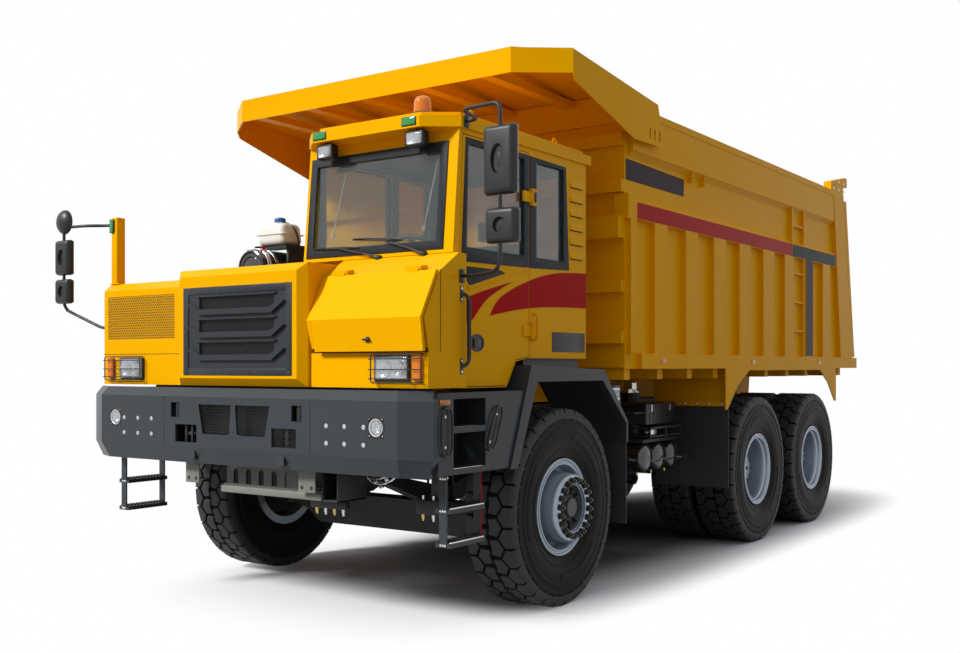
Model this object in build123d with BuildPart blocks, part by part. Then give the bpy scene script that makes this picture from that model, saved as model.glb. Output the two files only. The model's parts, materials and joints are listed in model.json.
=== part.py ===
from build123d import *
from math import atan2, cos, degrees, hypot, radians, sin
import os

# Mining dump truck, six by four, in millimetres.
# The nose looks along -Y, the driver's side is +X and the ground is Z = 0.
# Lengths along the truck are counted backwards from the front axle.

# Wheels and axles
front_axle_y = -2710
second_axle_back = 3814
tandem_spacing = 1729
tyre_radius = 747.5
tyre_width = 430
tread_width = 372
sidewall_radius = 520
bead_radius = 319
rim_flange_radius = 368
rim_flange_width = 22
rim_wall = 14
front_wheel_x = 1454
rear_outer_wheel_x = 1535
dual_spacing = 480
kingpin_x = 1200
steer_arm = 230
running_gap = 6
bearing_gap = 0.1
wheel_sides = 20
drum_sides = 12
front_disc_out = 278
spindle_radius = 62
kingpin_radius = 30
axle_tube_radius = 120
seat_gap = 0.3

# Frame rails
rail_outer_x = 500
rail_flange = 95
rail_web = 16
rail_bottom_z = 1080
rail_top_z = 1460
rail_front_back = -1450
rail_rear_back = 6460

# Tow clevis at the tail
tow_back = 6430
tow_low_z = 1130
tow_high_z = 1270
tow_plate = 30
tow_radius = 26

# Tipping body
bed_front_back = 880
bed_half = 1700
bed_proud = 50
bed_plate = 12
bed_floor_z = 1800
bed_top_z = 3960
bed_rail_bottom_z = 1790
bed_rail_top_z = 1920
gate_top_back = 6660
gate_top_z = 4020
gate_foot_back = 7040
gate_foot_z = 1930
gate_depth = 88
upper_low_z = 3590
ladder_near_back = 4830
ladder_far_back = 5225
ladder_rungs = (2210, 2534, 2854, 3388)
band_bottom_z = 3030
band_top_z = 3200
canopy_front_back = -400
canopy_half = 1430
canopy_side_x = 1800
canopy_top_z = 4170
canopy_lip_z = 3980
tip_pin_back = 6400
tip_pin_z = 1360
tip_pin_radius = 45

# Hoists
hoist_x = 660
hoist_back = 3000
hoist_foot_z = 660
hoist_head_z = 1690
hoist_radii = (104, 91, 78, 65, 52)
hoist_pin_radius = 35

# Cab
cab_left_x = 1610
cab_right_x = 262
cab_front_back = -1290
cab_rear_back = 400
cab_wall = 45
cab_roof_z = 3395
cab_floor_z = 1870
cab_low_z = 1665
cab_sill_z = 2585
cab_header_z = 3310
door_rear_back = -430
door_gap = 6
glass = 6

# Nose
nose_front_back = -1780
nose_bottom_z = 1670
hood_half = 620
hood_front_back = -1775
hood_bevel = 55
hatch_top_z = 2425
hatch_fold_z = 2120
hatch_foot_z = 1907
bumper_front_back = -1800
bumper_half = 1710
bumper_bottom_z = 1100
bumper_top_z = 1655
fog_lamp_x = 1325
fog_lamp_z = 1418
fog_lamp_radius = 56


def aft(distance):
    """Y of a place that lies this far behind the front axle."""
    return front_axle_y + distance


def side_plate(points, x_low, x_high, mode=Mode.ADD):
    """A piece cut to an outline seen from the side, as (distance aft, height) pairs."""
    with BuildSketch(Plane.YZ.offset(x_low)) as outline:
        with BuildLine():
            Polyline(*[(aft(back), height) for back, height in points], close=True)
        make_face()
    extrude(outline.sketch, amount=x_high - x_low, mode=mode)


def cross_plate(points, back_low, back_high, mode=Mode.ADD):
    """A piece cut to an outline seen from the front, as (across, height) pairs."""
    with BuildSketch(Plane.XZ.offset(-aft(back_high))) as outline:
        with BuildLine():
            Polyline(*points, close=True)
        make_face()
    extrude(outline.sketch, amount=back_high - back_low, mode=mode)


def plan_plate(points, z_low, z_high, mode=Mode.ADD):
    """A piece cut to an outline seen from above, as (across, distance aft) pairs."""
    with BuildSketch(Plane.XY.offset(z_low)) as outline:
        with BuildLine():
            Polyline(*[(x, aft(back)) for x, back in points], close=True)
        make_face()
    extrude(outline.sketch, amount=z_high - z_low, mode=mode)


def block(x_low, x_high, back_low, back_high, z_low, z_high, mode=Mode.ADD):
    """A square-edged piece between two limits each way."""
    middle = ((x_low + x_high) / 2, aft((back_low + back_high) / 2), (z_low + z_high) / 2)
    with Locations(middle):
        Box(x_high - x_low, back_high - back_low, z_high - z_low, mode=mode)


def cross_rod(x_low, x_high, back, z, radius, mode=Mode.ADD):
    """A round piece that lies across the truck."""
    with Locations(Location(((x_low + x_high) / 2, aft(back), z), (0, 90, 0))):
        Cylinder(radius, x_high - x_low, mode=mode)


def post(x, back, z_low, z_high, radius, mode=Mode.ADD):
    """A round piece that stands upright."""
    with Locations((x, aft(back), (z_low + z_high) / 2)):
        Cylinder(radius, z_high - z_low, mode=mode)


def tube_along(points, radius):
    """An eight-sided tube with mitred corners through (across, distance aft, height) points."""
    corners = [(x, aft(back), z) for x, back, z in points]
    with BuildLine() as path:
        Polyline(*corners)
    with BuildSketch(Plane(origin=path.line @ 0, z_dir=path.line % 0)) as ring:
        RegularPolygon(radius, 8)
    sweep(ring.sketch, path=path.line, transition=Transition.RIGHT)


def keep(piece, name):
    """Names a finished piece and writes it."""
    piece.part.label = name
    export_step(piece.part, f"parts/{name}.step")


def wheel_plane(side, x, back):
    """Plane square to a wheel's axis at its middle, facing outwards."""
    return Plane(
        origin=(side * x, aft(back), tyre_radius),
        x_dir=(0, 1, 0),
        z_dir=(side, 0, 0),
    )


def upright(x, back):
    """Plane square to an upright axis, whose offsets are heights."""
    return Plane(origin=(x, aft(back), 0), x_dir=(1, 0, 0), z_dir=(0, 0, 1))


def lengthways(x, z):
    """Plane square to an axis along the truck, whose offsets are distances aft."""
    return Plane(origin=(x, aft(0), z), x_dir=(1, 0, 0), z_dir=(0, 1, 0))


def crossways(back, z):
    """Plane square to an axis across the truck, whose offsets are places across."""
    return Plane(origin=(0, aft(back), z), x_dir=(0, 1, 0), z_dir=(1, 0, 0))


def sided(plane, points, mode=Mode.ADD, flats=wheel_sides):
    """A many-sided piece about a plane's axis, one flat down, from (offset, radius) pairs."""
    faces = []
    for out, radius in points:
        with BuildSketch(plane.offset(out)) as level:
            RegularPolygon(radius, flats, major_radius=False, rotation=270 - 180 / flats)
        faces.append(level.sketch.faces()[0])
    loft(faces, ruled=True, mode=mode)


def tube(plane, low, high, radius, mode=Mode.ADD):
    """A many-sided round of one thickness between two offsets of a plane."""
    sided(plane, ((low, radius), (high, radius)), mode, drum_sides)


os.makedirs("parts", exist_ok=True)

# Each row: side name, side sign
sides = (("left", 1), ("right", -1))

# Frame: two channel rails, cross members and the tail pin
cross_members = (
    # distance aft, length along the truck, bottom, top
    (-1400, 90, 1110, 1430),
    (980, 120, 1150, 1440),
    (2960, 160, 1120, 1440),
    (4678, 300, 1120, 1440),
    (6180, 140, 1120, 1440),
)
with BuildPart() as chassis_frame:
    channel = (
        (rail_outer_x, rail_bottom_z),
        (rail_outer_x, rail_top_z),
        (rail_outer_x - rail_flange, rail_top_z),
        (rail_outer_x - rail_flange, rail_top_z - rail_web),
        (rail_outer_x - rail_web, rail_top_z - rail_web),
        (rail_outer_x - rail_web, rail_bottom_z + rail_web),
        (rail_outer_x - rail_flange, rail_bottom_z + rail_web),
        (rail_outer_x - rail_flange, rail_bottom_z),
    )
    cross_plate(channel, rail_front_back, rail_rear_back)
    mirror(about=Plane.YZ)
    for back, length, low, high in cross_members:
        block(-rail_outer_x + 1, rail_outer_x - 1, back - length / 2, back + length / 2, low, high)
    cross_rod(-rail_outer_x - 130, rail_outer_x + 130, tip_pin_back, tip_pin_z, tip_pin_radius)
    # Beam that carries the nose, and brackets that carry the cab and the wings
    block(-1320, 1320, -1420, -1360, 1600, nose_bottom_z - seat_gap)
    for side_name, side in sides:
        low_x, high_x = sorted((side * (rail_outer_x - 60), side * rail_outer_x))
        block(low_x, high_x, -1420, -1360, rail_top_z - 1, 1601)
        low_x, high_x = sorted((side * (rail_outer_x - 90), side * rail_outer_x))
        block(low_x, high_x, 300, 380, rail_top_z - 1, 1796)
        low_x, high_x = sorted((side * (rail_outer_x - 90), side * 1160))
        block(low_x, high_x, 300, 380, 1795, cab_floor_z - seat_gap)
        low_x, high_x = sorted((side * 1060, side * 1160))
        block(low_x, high_x, 300, 380, 1792, 1796)
    for low in (tow_low_z, tow_high_z - tow_plate):
        block(-80, 80, 6249, tow_back + 60, low, low + tow_plate)
    post(0, tow_back, tow_low_z - 1, tow_high_z + 1, tow_radius, Mode.SUBTRACT)
keep(chassis_frame, "chassis_frame")

# Feet of the hoists: plates on the rails, each with its pin
with BuildPart() as hoist_feet:
    foot_x = rail_outer_x + seat_gap
    block(foot_x, foot_x + 40, hoist_back - 90, hoist_back + 90, hoist_foot_z - 60, 1300)
    cross_rod(foot_x, hoist_x + 75, hoist_back, hoist_foot_z, hoist_pin_radius)
    mirror(about=Plane.YZ)
keep(hoist_feet, "hoist_feet")

# Engine and gearbox as plain blocks between the rails
engine_front_back = -1180
engine_rear_back = 180
with BuildPart() as engine_block:
    block(-390, 245, engine_front_back, engine_rear_back, 990, 1960)
    block(-240, 240, engine_rear_back, engine_rear_back + 620, 1000, 1440)
    mount_reach = rail_outer_x - rail_web - seat_gap
    for back in (-950, 60):
        block(-mount_reach, mount_reach, back - 45, back + 45, 1180, 1250)
keep(engine_block, "engine_block")

# Bumper: a folded shell with raked top and bottom and cut-back corners
bumper_skin = 14


def bumper_outline(inset):
    """Plan of the bumper at one height, drawn back by an inset."""
    return (
        (-bumper_half + inset, -1640),
        (-bumper_half + inset, -1700 + inset / 2),
        (-1500 + inset / 2, bumper_front_back + inset),
        (1500 - inset / 2, bumper_front_back + inset),
        (bumper_half - inset, -1700 + inset / 2),
        (bumper_half - inset, -1640),
    )


def bumper_body(skin, mode):
    """The bumper's form by three lofts between its folds, thinner by a skin."""
    levels = (
        # height, inset
        (bumper_bottom_z, 55 + skin),
        (1220, skin),
        (1590, skin),
        (bumper_top_z, 50 + skin),
    )
    with BuildPart(mode=Mode.PRIVATE) as form:
        for (low, low_inset), (high, high_inset) in zip(levels, levels[1:]):
            faces = []
            for height, inset in ((low, low_inset), (high, high_inset)):
                with BuildSketch(Plane.XY.offset(height)) as level:
                    with BuildLine():
                        Polyline(*[(x, aft(back)) for x, back in bumper_outline(inset)], close=True)
                    make_face()
                faces.append(level.sketch.faces()[0])
            loft(faces, ruled=True)
    return form.part


with BuildPart() as front_bumper:
    add(bumper_body(0, Mode.ADD))
    add(bumper_body(bumper_skin, Mode.ADD), mode=Mode.SUBTRACT)
    for side_name, side in sides:
        side_x = side * (rail_outer_x - 45)
        block(side_x - 40, side_x + 40, bumper_front_back + 8, rail_front_back - seat_gap, 1130, 1230)
        # Vent, step well, towing slot and fog lamp holes through the front skin
        cut_front = bumper_front_back - 1
        cut_back = bumper_front_back + bumper_skin + 1
        vent = (
            (side * 40, 1330),
            (side * 75, 1320),
            (side * 320, 1320),
            (side * 365, 1535),
            (side * 20, 1535),
        )
        cross_plate(vent, cut_front, cut_back, Mode.SUBTRACT)
        low_x, high_x = sorted((side * 385, side * 620))
        block(low_x, high_x, cut_front, cut_back, 1255, 1385, Mode.SUBTRACT)
        low_x, high_x = sorted((side * 575, side * 670))
        block(low_x, high_x, cut_front, cut_back, 1437, 1545, Mode.SUBTRACT)
        lamp_bore = lengthways(side * fog_lamp_x, fog_lamp_z)
        tube(lamp_bore, cut_front, cut_back, fog_lamp_radius + 6, Mode.SUBTRACT)
        # Towing eye behind its slot, on a bracket from the skin
        low_x, high_x = sorted((side * 560, side * 685))
        block(low_x, high_x, bumper_front_back + bumper_skin - 1, bumper_front_back + 90, 1420, 1436)
        block(low_x, high_x, bumper_front_back + bumper_skin - 1, bumper_front_back + 90, 1546, 1562)
        tube(upright(side * 622, bumper_front_back + 45), 1435, 1547, tow_radius)
keep(front_bumper, "front_bumper")

# Guard under the bumper, with arched slots and a beam at its foot
guard_back = -1560
guard_left_x = 660
guard_right_x = -330
guard_top_z = 1080
with BuildPart() as radiator_guard:
    block(guard_right_x, guard_left_x, guard_back, guard_back + 8, 950, guard_top_z)
    slot_pitch = 132
    arch_half = 27
    for step in range(7):
        x = guard_right_x + 100 + step * slot_pitch
        block(x - arch_half, x + arch_half, guard_back - 1, guard_back + 9, 951, 1030, Mode.SUBTRACT)
        arch_head = ((guard_back - 1, arch_half), (guard_back + 9, arch_half))
        sided(lengthways(x, 1030), arch_head, Mode.SUBTRACT, 8)
    block(guard_right_x, guard_left_x, guard_back - 30, guard_back + 90, 890, 950)
    for x in (-300, 300):
        block(x - 30, x + 30, guard_back + 8, guard_back + 70, 950, 1150)
        block(x - 30, x + 30, guard_back + 8, cross_members[0][0] - 45 - seat_gap, 1120, 1150)
keep(radiator_guard, "radiator_guard")

# Hood: a hollow box ahead of the engine with bevels round its face, open underneath and behind
hood_rear_back = 150
hood_skin = 6
hood_top_z = 2520
hood_side_x = 655
tunnel_side_x = 255
tunnel_low_z = 1990
tunnel_high_z = 2400
hood_back = cab_front_back - 75


def hood_form(skin):
    """The hood's outer form drawn in by a skin: a flat face, bevels and square sides."""
    face_half = hood_side_x - hood_bevel
    face_low_z = nose_bottom_z + hood_bevel
    face_high_z = hood_top_z - hood_bevel
    levels = (
        # distance aft, half width, bottom, top
        (hood_front_back + skin, face_half, face_low_z, face_high_z),
        (hood_front_back + hood_bevel + skin, hood_side_x, nose_bottom_z, hood_top_z),
        (hood_back, hood_side_x, nose_bottom_z, hood_top_z),
    )
    faces = []
    for back, half, low, high in levels:
        with BuildSketch(Plane.XZ.offset(-aft(back))) as level:
            with Locations((0, (low + high) / 2)):
                Rectangle(2 * (half - skin), high - low - 2 * skin)
        faces.append(level.sketch.faces()[0])
    with BuildPart(mode=Mode.PRIVATE) as form:
        loft(faces, ruled=True)
    return form.part


grille_half = 556
grille_low_z = 1745
grille_high_z = 2385
with BuildPart() as engine_hood:
    add(hood_form(0))
    add(hood_form(hood_skin), mode=Mode.SUBTRACT)
    floor_half = hood_side_x - hood_bevel - 20
    block(-floor_half, floor_half, hood_front_back + hood_bevel, hood_back + 1,
          nose_bottom_z - 1, nose_bottom_z + hood_skin + 1, Mode.SUBTRACT)
    block(-grille_half, grille_half, hood_front_back - 1, hood_front_back + hood_skin + 1,
          grille_low_z, grille_high_z, Mode.SUBTRACT)
keep(engine_hood, "engine_hood")

# Cover over the engine beside the cab, lower than the hood
with BuildPart() as engine_cover:
    cover_front = hood_back + seat_gap
    block(-hood_side_x, tunnel_side_x, cover_front, hood_rear_back, tunnel_low_z, tunnel_high_z)
    block(-hood_side_x + hood_skin, tunnel_side_x - hood_skin,
          cover_front + hood_skin, hood_rear_back - hood_skin,
          tunnel_low_z - 1, tunnel_high_z - hood_skin, Mode.SUBTRACT)
keep(engine_cover, "engine_cover")

# Grille: a dark moulded panel with three blades, each turned up at its ends under an air slot
louvre_rows = (1854, 2018, 2183)
blade_height = 38
blade_half = 500
blade_flat = 375
blade_rise = 80
slot_half = 385
with BuildPart() as grille:
    block(-grille_half + 2, grille_half - 2, hood_front_back + 2, hood_front_back + 16,
          grille_low_z + 2, grille_high_z - 2)
    block(-grille_half - 8, grille_half + 8, hood_front_back + hood_skin + seat_gap, hood_front_back + 16,
          grille_low_z - 8, grille_high_z + 8)
    for low in louvre_rows:
        blade = (
            (-blade_flat, low),
            (blade_flat, low),
            (blade_half, low + blade_rise),
            (blade_half - 60, low + blade_rise),
            (blade_flat - 25, low + blade_height),
            (-blade_flat + 25, low + blade_height),
            (-blade_half + 60, low + blade_rise),
            (-blade_half, low + blade_rise),
        )
        cross_plate(blade, hood_front_back - 22, hood_front_back + 4)
        block(-slot_half, slot_half, hood_front_back, hood_front_back + 20,
              low + blade_height + 4, low + blade_height + 88, Mode.SUBTRACT)
keep(grille, "grille")

# Cooler housing on the off side, bevelled like the hood, with the mirror post on its corner
housing_outer_x = -1650
housing_inner_x = -hood_side_x - seat_gap
housing_front_back = -1680
housing_rear_back = -560
housing_low_z = 1670
housing_high_z = 2470
housing_bevel = 60
housing_skin = 6
mirror_post_x = -1590
mirror_post_back = -1600
mirror_post_size = 130
mirror_post_top_z = 3010
arch_front_back = -700
arch_top_z = 1880


def housing_form(skin):
    """The housing's outer form drawn in by a skin, with bevels at its top and outer edges."""
    levels = (
        # distance aft, outer side, top
        (housing_front_back + skin, housing_outer_x + 20, housing_high_z - housing_bevel),
        (housing_front_back + housing_bevel + 20 + skin, housing_outer_x, housing_high_z),
        (housing_rear_back - skin, housing_outer_x, housing_high_z),
    )
    faces = []
    for back, outer, high in levels:
        with BuildSketch(Plane.XZ.offset(-aft(back))) as level:
            with Locations(((outer + housing_inner_x) / 2, (housing_low_z + high) / 2)):
                Rectangle(housing_inner_x - outer - 2 * skin, high - housing_low_z - 2 * skin)
        faces.append(level.sketch.faces()[0])
    with BuildPart(mode=Mode.PRIVATE) as form:
        loft(faces, ruled=True)
    return form.part


with BuildPart() as cooler_housing:
    add(housing_form(0))
    add(housing_form(housing_skin), mode=Mode.SUBTRACT)
    block(housing_outer_x + 40, housing_inner_x - 40, housing_front_back + 90, arch_front_back - 6,
          housing_low_z - 1, housing_low_z + housing_skin + 1, Mode.SUBTRACT)
    # Clearance over the steered wheel behind the step box
    block(housing_outer_x - 1, housing_inner_x + 1, arch_front_back, housing_rear_back + 1,
          housing_low_z - 1, arch_top_z, Mode.SUBTRACT)
    block(housing_outer_x + 1, housing_inner_x - 1, arch_front_back - 6, housing_rear_back - 1,
          arch_top_z, arch_top_z + 6)
    block(housing_outer_x + 1, housing_inner_x - 1, arch_front_back - 6, arch_front_back,
          housing_low_z + 1, arch_top_z + 6)
    # Air mesh and the lamp opening in the front face
    cut_front = housing_front_back - 1
    cut_back = housing_front_back + housing_skin + 1
    block(-1580, -773, cut_front, cut_back, 2023, 2361, Mode.SUBTRACT)
    block(-1590, -763, cut_back - 1.5, cut_back + 3, 2013, 2371)
    block(-1591, -1133, cut_front, cut_back, 1690, 1890, Mode.SUBTRACT)
keep(cooler_housing, "cooler_housing")

with BuildPart() as mirror_post:
    block(mirror_post_x - mirror_post_size / 2 + 10, mirror_post_x + mirror_post_size / 2,
          mirror_post_back - 15, mirror_post_back + mirror_post_size - 15,
          housing_high_z + seat_gap, mirror_post_top_z)
keep(mirror_post, "mirror_post")

# Door hinges, at its rear edge
door_hinge_x = cab_left_x + 18
door_hinge_back = door_rear_back + 12
door_hinge_rows = (2030, 3000)
hinge_pin_radius = 7

# Cab shell: side walls, rear wall and floor, with its windows and doorway cut
cab_outline = (
    # distance aft, height
    (cab_front_back, cab_low_z),
    (-725, cab_low_z),
    (-605, 1845),
    (door_rear_back - 20, cab_floor_z),
    (cab_rear_back, cab_floor_z),
    (cab_rear_back, cab_roof_z),
    (cab_front_back + 5, cab_roof_z),
    (cab_front_back - 70, cab_sill_z - 25),
    (cab_front_back, cab_sill_z - 30),
)
doorway = (
    # distance aft, height
    (cab_front_back + 30, cab_low_z + 6),
    (-728, cab_low_z + 6),
    (-608, 1852),
    (door_rear_back, cab_floor_z + 6),
    (door_rear_back, cab_header_z + 50),
    (cab_front_back + 40, cab_header_z + 50),
    (cab_front_back + 2, cab_sill_z),
)
with BuildPart() as cab_shell:
    side_plate(cab_outline, cab_right_x, cab_left_x)
    room = (
        (cab_front_back + cab_wall, cab_low_z + 30),
        (-745, cab_low_z + 30),
        (-640, 1900),
        (cab_rear_back - cab_wall, 1900),
        (cab_rear_back - cab_wall, cab_roof_z + 5),
        (cab_front_back + 35, cab_roof_z + 5),
        (cab_front_back + cab_wall - 40, cab_sill_z - 10),
    )
    side_plate(room, cab_right_x + cab_wall, cab_left_x - cab_wall, Mode.SUBTRACT)
    # Doorway on the near side only
    side_plate(doorway, cab_left_x - cab_wall - 5, cab_left_x + 5, Mode.SUBTRACT)
    for low in door_hinge_rows:
        for foot in (low - 22, low + 78):
            block(cab_left_x - 1, door_hinge_x + 12,
                  door_hinge_back - 12, door_hinge_back + 50, foot, foot + 20)
        post(door_hinge_x, door_hinge_back, low - 20, low + 96, hinge_pin_radius)
    # Windscreen
    block(cab_right_x + 60, cab_left_x - 110, cab_front_back - 120, cab_front_back + 60,
          cab_sill_z + 15, cab_header_z - 10, Mode.SUBTRACT)
    # Side windows behind the doorway, off-side window and rear window
    block(cab_right_x - 5, cab_left_x + 5, door_rear_back + 90, 60,
          cab_sill_z + 15, cab_header_z, Mode.SUBTRACT)
    block(cab_right_x - 5, cab_right_x + cab_wall + 5, cab_front_back + 110, door_rear_back,
          cab_sill_z + 15, cab_header_z, Mode.SUBTRACT)
    block(cab_right_x + 200, cab_left_x - 200, cab_rear_back - cab_wall - 5, cab_rear_back + 5,
          cab_sill_z + 60, cab_header_z, Mode.SUBTRACT)
keep(cab_shell, "cab_shell")

# Cab roof: a shallow tray with the visor over the windscreen
roof_outline = (
    # across, distance aft
    (430, -1450),
    (1400, -1450),
    (1625, -1285),
    (1625, cab_rear_back + 60),
    (250, cab_rear_back + 60),
    (250, -1285),
)
with BuildPart() as cab_roof:
    plan_plate(roof_outline, cab_roof_z + seat_gap, cab_roof_z + 75)
    smaller = [((x - 930) * 0.94 + 930, (back + 500) * 0.94 - 500) for x, back in roof_outline]
    plan_plate(smaller, cab_roof_z + 75, cab_roof_z + 110)
keep(cab_roof, "cab_roof")

# Glass: each pane sits 5 mm inside its opening's edge
pane_edge = seat_gap
with BuildPart() as cab_glass:
    screen = (
        (cab_front_back - 48, cab_sill_z + 15 + pane_edge),
        (cab_front_back - 48 + glass, cab_sill_z + 15 + pane_edge),
        (cab_front_back + 4 + glass, cab_header_z - 10 - pane_edge),
        (cab_front_back + 4, cab_header_z - 10 - pane_edge),
    )
    side_plate(screen, cab_right_x + 60 + pane_edge, cab_left_x - 110 - pane_edge)
    block(cab_left_x - 25, cab_left_x - 25 + glass, door_rear_back + 90 + pane_edge, 60 - pane_edge,
          cab_sill_z + 15 + pane_edge, cab_header_z - pane_edge)
    block(cab_right_x + 20, cab_right_x + 20 + glass, door_rear_back + 90 + pane_edge, 60 - pane_edge,
          cab_sill_z + 15 + pane_edge, cab_header_z - pane_edge)
    block(cab_right_x + 20, cab_right_x + 20 + glass, cab_front_back + 110 + pane_edge,
          door_rear_back - pane_edge, cab_sill_z + 15 + pane_edge, cab_header_z - pane_edge)
    block(cab_right_x + 200 + pane_edge, cab_left_x - 200 - pane_edge, cab_rear_back - 25,
          cab_rear_back - 25 + glass, cab_sill_z + 60 + pane_edge, cab_header_z - pane_edge)
keep(cab_glass, "cab_glass")

# Door: one thick leaf hung at its rear edge, with its window cut
door_leaf = (
    # distance aft, height
    (cab_front_back + 36, cab_low_z + 12),
    (-732, cab_low_z + 12),
    (-612, 1858),
    (door_rear_back - door_gap, cab_floor_z + 12),
    (door_rear_back - door_gap, cab_header_z + 44),
    (cab_front_back + 46, cab_header_z + 44),
    (cab_front_back + 8, cab_sill_z),
)
door_window = (
    (cab_front_back + 75, cab_sill_z + 15),
    (door_rear_back - 60, cab_sill_z + 15),
    (door_rear_back - 60, cab_header_z),
    (cab_front_back + 100, cab_header_z),
)
with BuildPart() as cab_door:
    side_plate(door_leaf, cab_left_x - cab_wall + 2, cab_left_x)
    side_plate(door_window, cab_left_x - cab_wall - 5, cab_left_x + 5, Mode.SUBTRACT)
    for low in door_hinge_rows:
        block(cab_left_x - 1, cab_left_x + 13, door_rear_back - 90, door_rear_back - door_gap, low, low + 76)
        block(cab_left_x + 1, cab_left_x + 13, door_rear_back - 90, door_hinge_back, low, low + 76)
        tube(upright(door_hinge_x, door_hinge_back), low, low + 76, 14)
        post(door_hinge_x, door_hinge_back, low - 1, low + 77, hinge_pin_radius + seat_gap, Mode.SUBTRACT)
keep(cab_door, "cab_door")

with BuildPart() as door_glass:
    window = (
        (cab_front_back + 75 + pane_edge, cab_sill_z + 15 + pane_edge),
        (door_rear_back - 60 - pane_edge, cab_sill_z + 15 + pane_edge),
        (door_rear_back - 60 - pane_edge, cab_header_z - pane_edge),
        (cab_front_back + 100 + pane_edge, cab_header_z - pane_edge),
    )
    side_plate(window, cab_left_x - 25, cab_left_x - 25 + glass)
keep(door_glass, "door_glass")

# Nose under the windscreen: side cheeks, lamp panel and cowl around the hatch
hatch_hinge_back = nose_front_back + 172
hatch_hinge_z = hatch_top_z + 18
hatch_hinge_rows = (850, 1480)
nose_inner_x = 660
nose_outer_x = 1670
with BuildPart() as cab_nose:
    cheek = (
        (cab_front_back - 1, nose_bottom_z),
        (nose_front_back + 80, nose_bottom_z),
        (nose_front_back + 80, hatch_foot_z - 8),
        (nose_front_back + 90, hatch_foot_z - 8),
        (nose_front_back + 40, hatch_fold_z),
        (nose_front_back + 205, hatch_top_z),
        (cab_front_back - 78, cab_sill_z - 30),
        (cab_front_back - 1, cab_sill_z - 35),
    )
    side_plate(cheek, nose_inner_x, nose_outer_x)
    inside = (
        (cab_front_back + 5, nose_bottom_z - 1),
        (nose_front_back + 86, nose_bottom_z - 1),
        (nose_front_back + 86, hatch_foot_z - 14),
        (nose_front_back + 70, hatch_fold_z),
        (nose_front_back + 225, hatch_top_z - 20),
        (cab_front_back + 5, cab_sill_z - 60),
    )
    side_plate(inside, nose_inner_x + 6, nose_outer_x - 6, Mode.SUBTRACT)
    block(1200, 1652, nose_front_back + 60, nose_front_back + 100, 1700, 1890, Mode.SUBTRACT)
    for x in hatch_hinge_rows:
        hinge_lug = (
            (nose_front_back + 204, hatch_top_z + 1),
            (hatch_hinge_back + 22, hatch_hinge_z - 10),
            (hatch_hinge_back - 10, hatch_hinge_z - 10),
            (hatch_hinge_back - 10, hatch_hinge_z + 10),
            (hatch_hinge_back + 60, hatch_hinge_z + 22),
            (hatch_hinge_back + 60, hatch_hinge_z - 10),
        )
        for low_x in (x - 66, x + 48):
            side_plate(hinge_lug, low_x, low_x + 18)
        cross_rod(x - 66, x + 66, hatch_hinge_back, hatch_hinge_z, hinge_pin_radius)
keep(cab_nose, "cab_nose")

# Front hatch: a folded panel hung at its top edge
hatch_leaf = (
    # distance aft, height, from the foot up the outside and back down the inside
    (nose_front_back + 30, hatch_foot_z),
    (nose_front_back, hatch_fold_z),
    (nose_front_back + 165, hatch_top_z),
    (nose_front_back + 190, hatch_top_z),
    (nose_front_back + 25, hatch_fold_z),
    (nose_front_back + 55, hatch_foot_z),
)
with BuildPart() as front_hatch:
    side_plate(hatch_leaf, 745, nose_outer_x - 2)
    for x in hatch_hinge_rows:
        knuckle_side = (
            (hatch_hinge_back - 12, hatch_top_z - 8),
            (hatch_hinge_back - 12, hatch_hinge_z + 12),
            (hatch_hinge_back + 12, hatch_hinge_z + 12),
            (hatch_hinge_back + 14, hatch_top_z - 8),
        )
        side_plate(knuckle_side, x - 45, x + 45)
        cross_rod(x - 46, x + 46, hatch_hinge_back, hatch_hinge_z,
                  hinge_pin_radius + seat_gap, Mode.SUBTRACT)
keep(front_hatch, "front_hatch")

# Driver's seat: a squab on its box and a backrest
seat_x = 1020
seat_half = 250
with BuildPart() as driver_seat:
    squab = (
        (-560, 1900 + seat_gap),
        (-560, 2230),
        (-600, 2330),
        (-115, 2330),
        (-90, 2230),
        (-90, 1900 + seat_gap),
    )
    side_plate(squab, seat_x - seat_half, seat_x + seat_half)
    backrest = (
        (-114.5, 2331),
        (-89.5, 2230),
        (0, 2230),
        (60, 2950),
        (-40, 2950),
    )
    side_plate(backrest, seat_x - seat_half, seat_x + seat_half)
keep(driver_seat, "driver_seat")

# Dashboard, and the steering wheel on its column
column_back = -1023.4
column_z = 2458
with BuildPart() as cab_interior:
    dash_side = (
        (cab_front_back + 46, 2100),
        (cab_front_back + 46, 2500),
        (-1100, 2520),
        (-1010, 2440),
        (-1080, 2100),
    )
    side_plate(dash_side, cab_right_x + cab_wall + seat_gap, cab_left_x - cab_wall - 8)
    column = Plane(origin=(seat_x, aft(column_back), column_z), z_dir=(0, 0.55, 0.84))
    with BuildSketch(column) as shaft:
        RegularPolygon(28, 8)
    extrude(shaft.sketch, amount=190)
    with BuildSketch(column.offset(180)) as spokes:
        Rectangle(420, 40)
        RegularPolygon(60, 8)
    extrude(spokes.sketch, amount=16)
    with BuildSketch(column.offset(170)) as rim_face:
        RegularPolygon(230, drum_sides)
        RegularPolygon(203, drum_sides, mode=Mode.SUBTRACT)
    extrude(rim_face.sketch, amount=28)
keep(cab_interior, "cab_interior")

# Headlamps behind their wire guards
with BuildPart() as headlamps:
    for low_x, high_x, back in ((1206, 1646, nose_front_back + 76), (-1586, -1138, housing_front_back - 4)):
        block(low_x, high_x, back, back + 16, 1706, 1884)
        for z in (1720, 1870):
            block(low_x + 8, high_x - 8, back - 45, back - 35, z - 5, z + 5)
        for x in (low_x + 12, high_x - 12):
            block(x - 5, x + 5, back - 45, back + 1, 1725, 1865)
        block(low_x - 10, high_x + 10, back + 10.3, back + 16, 1692, 1898)
keep(headlamps, "headlamps")

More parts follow.
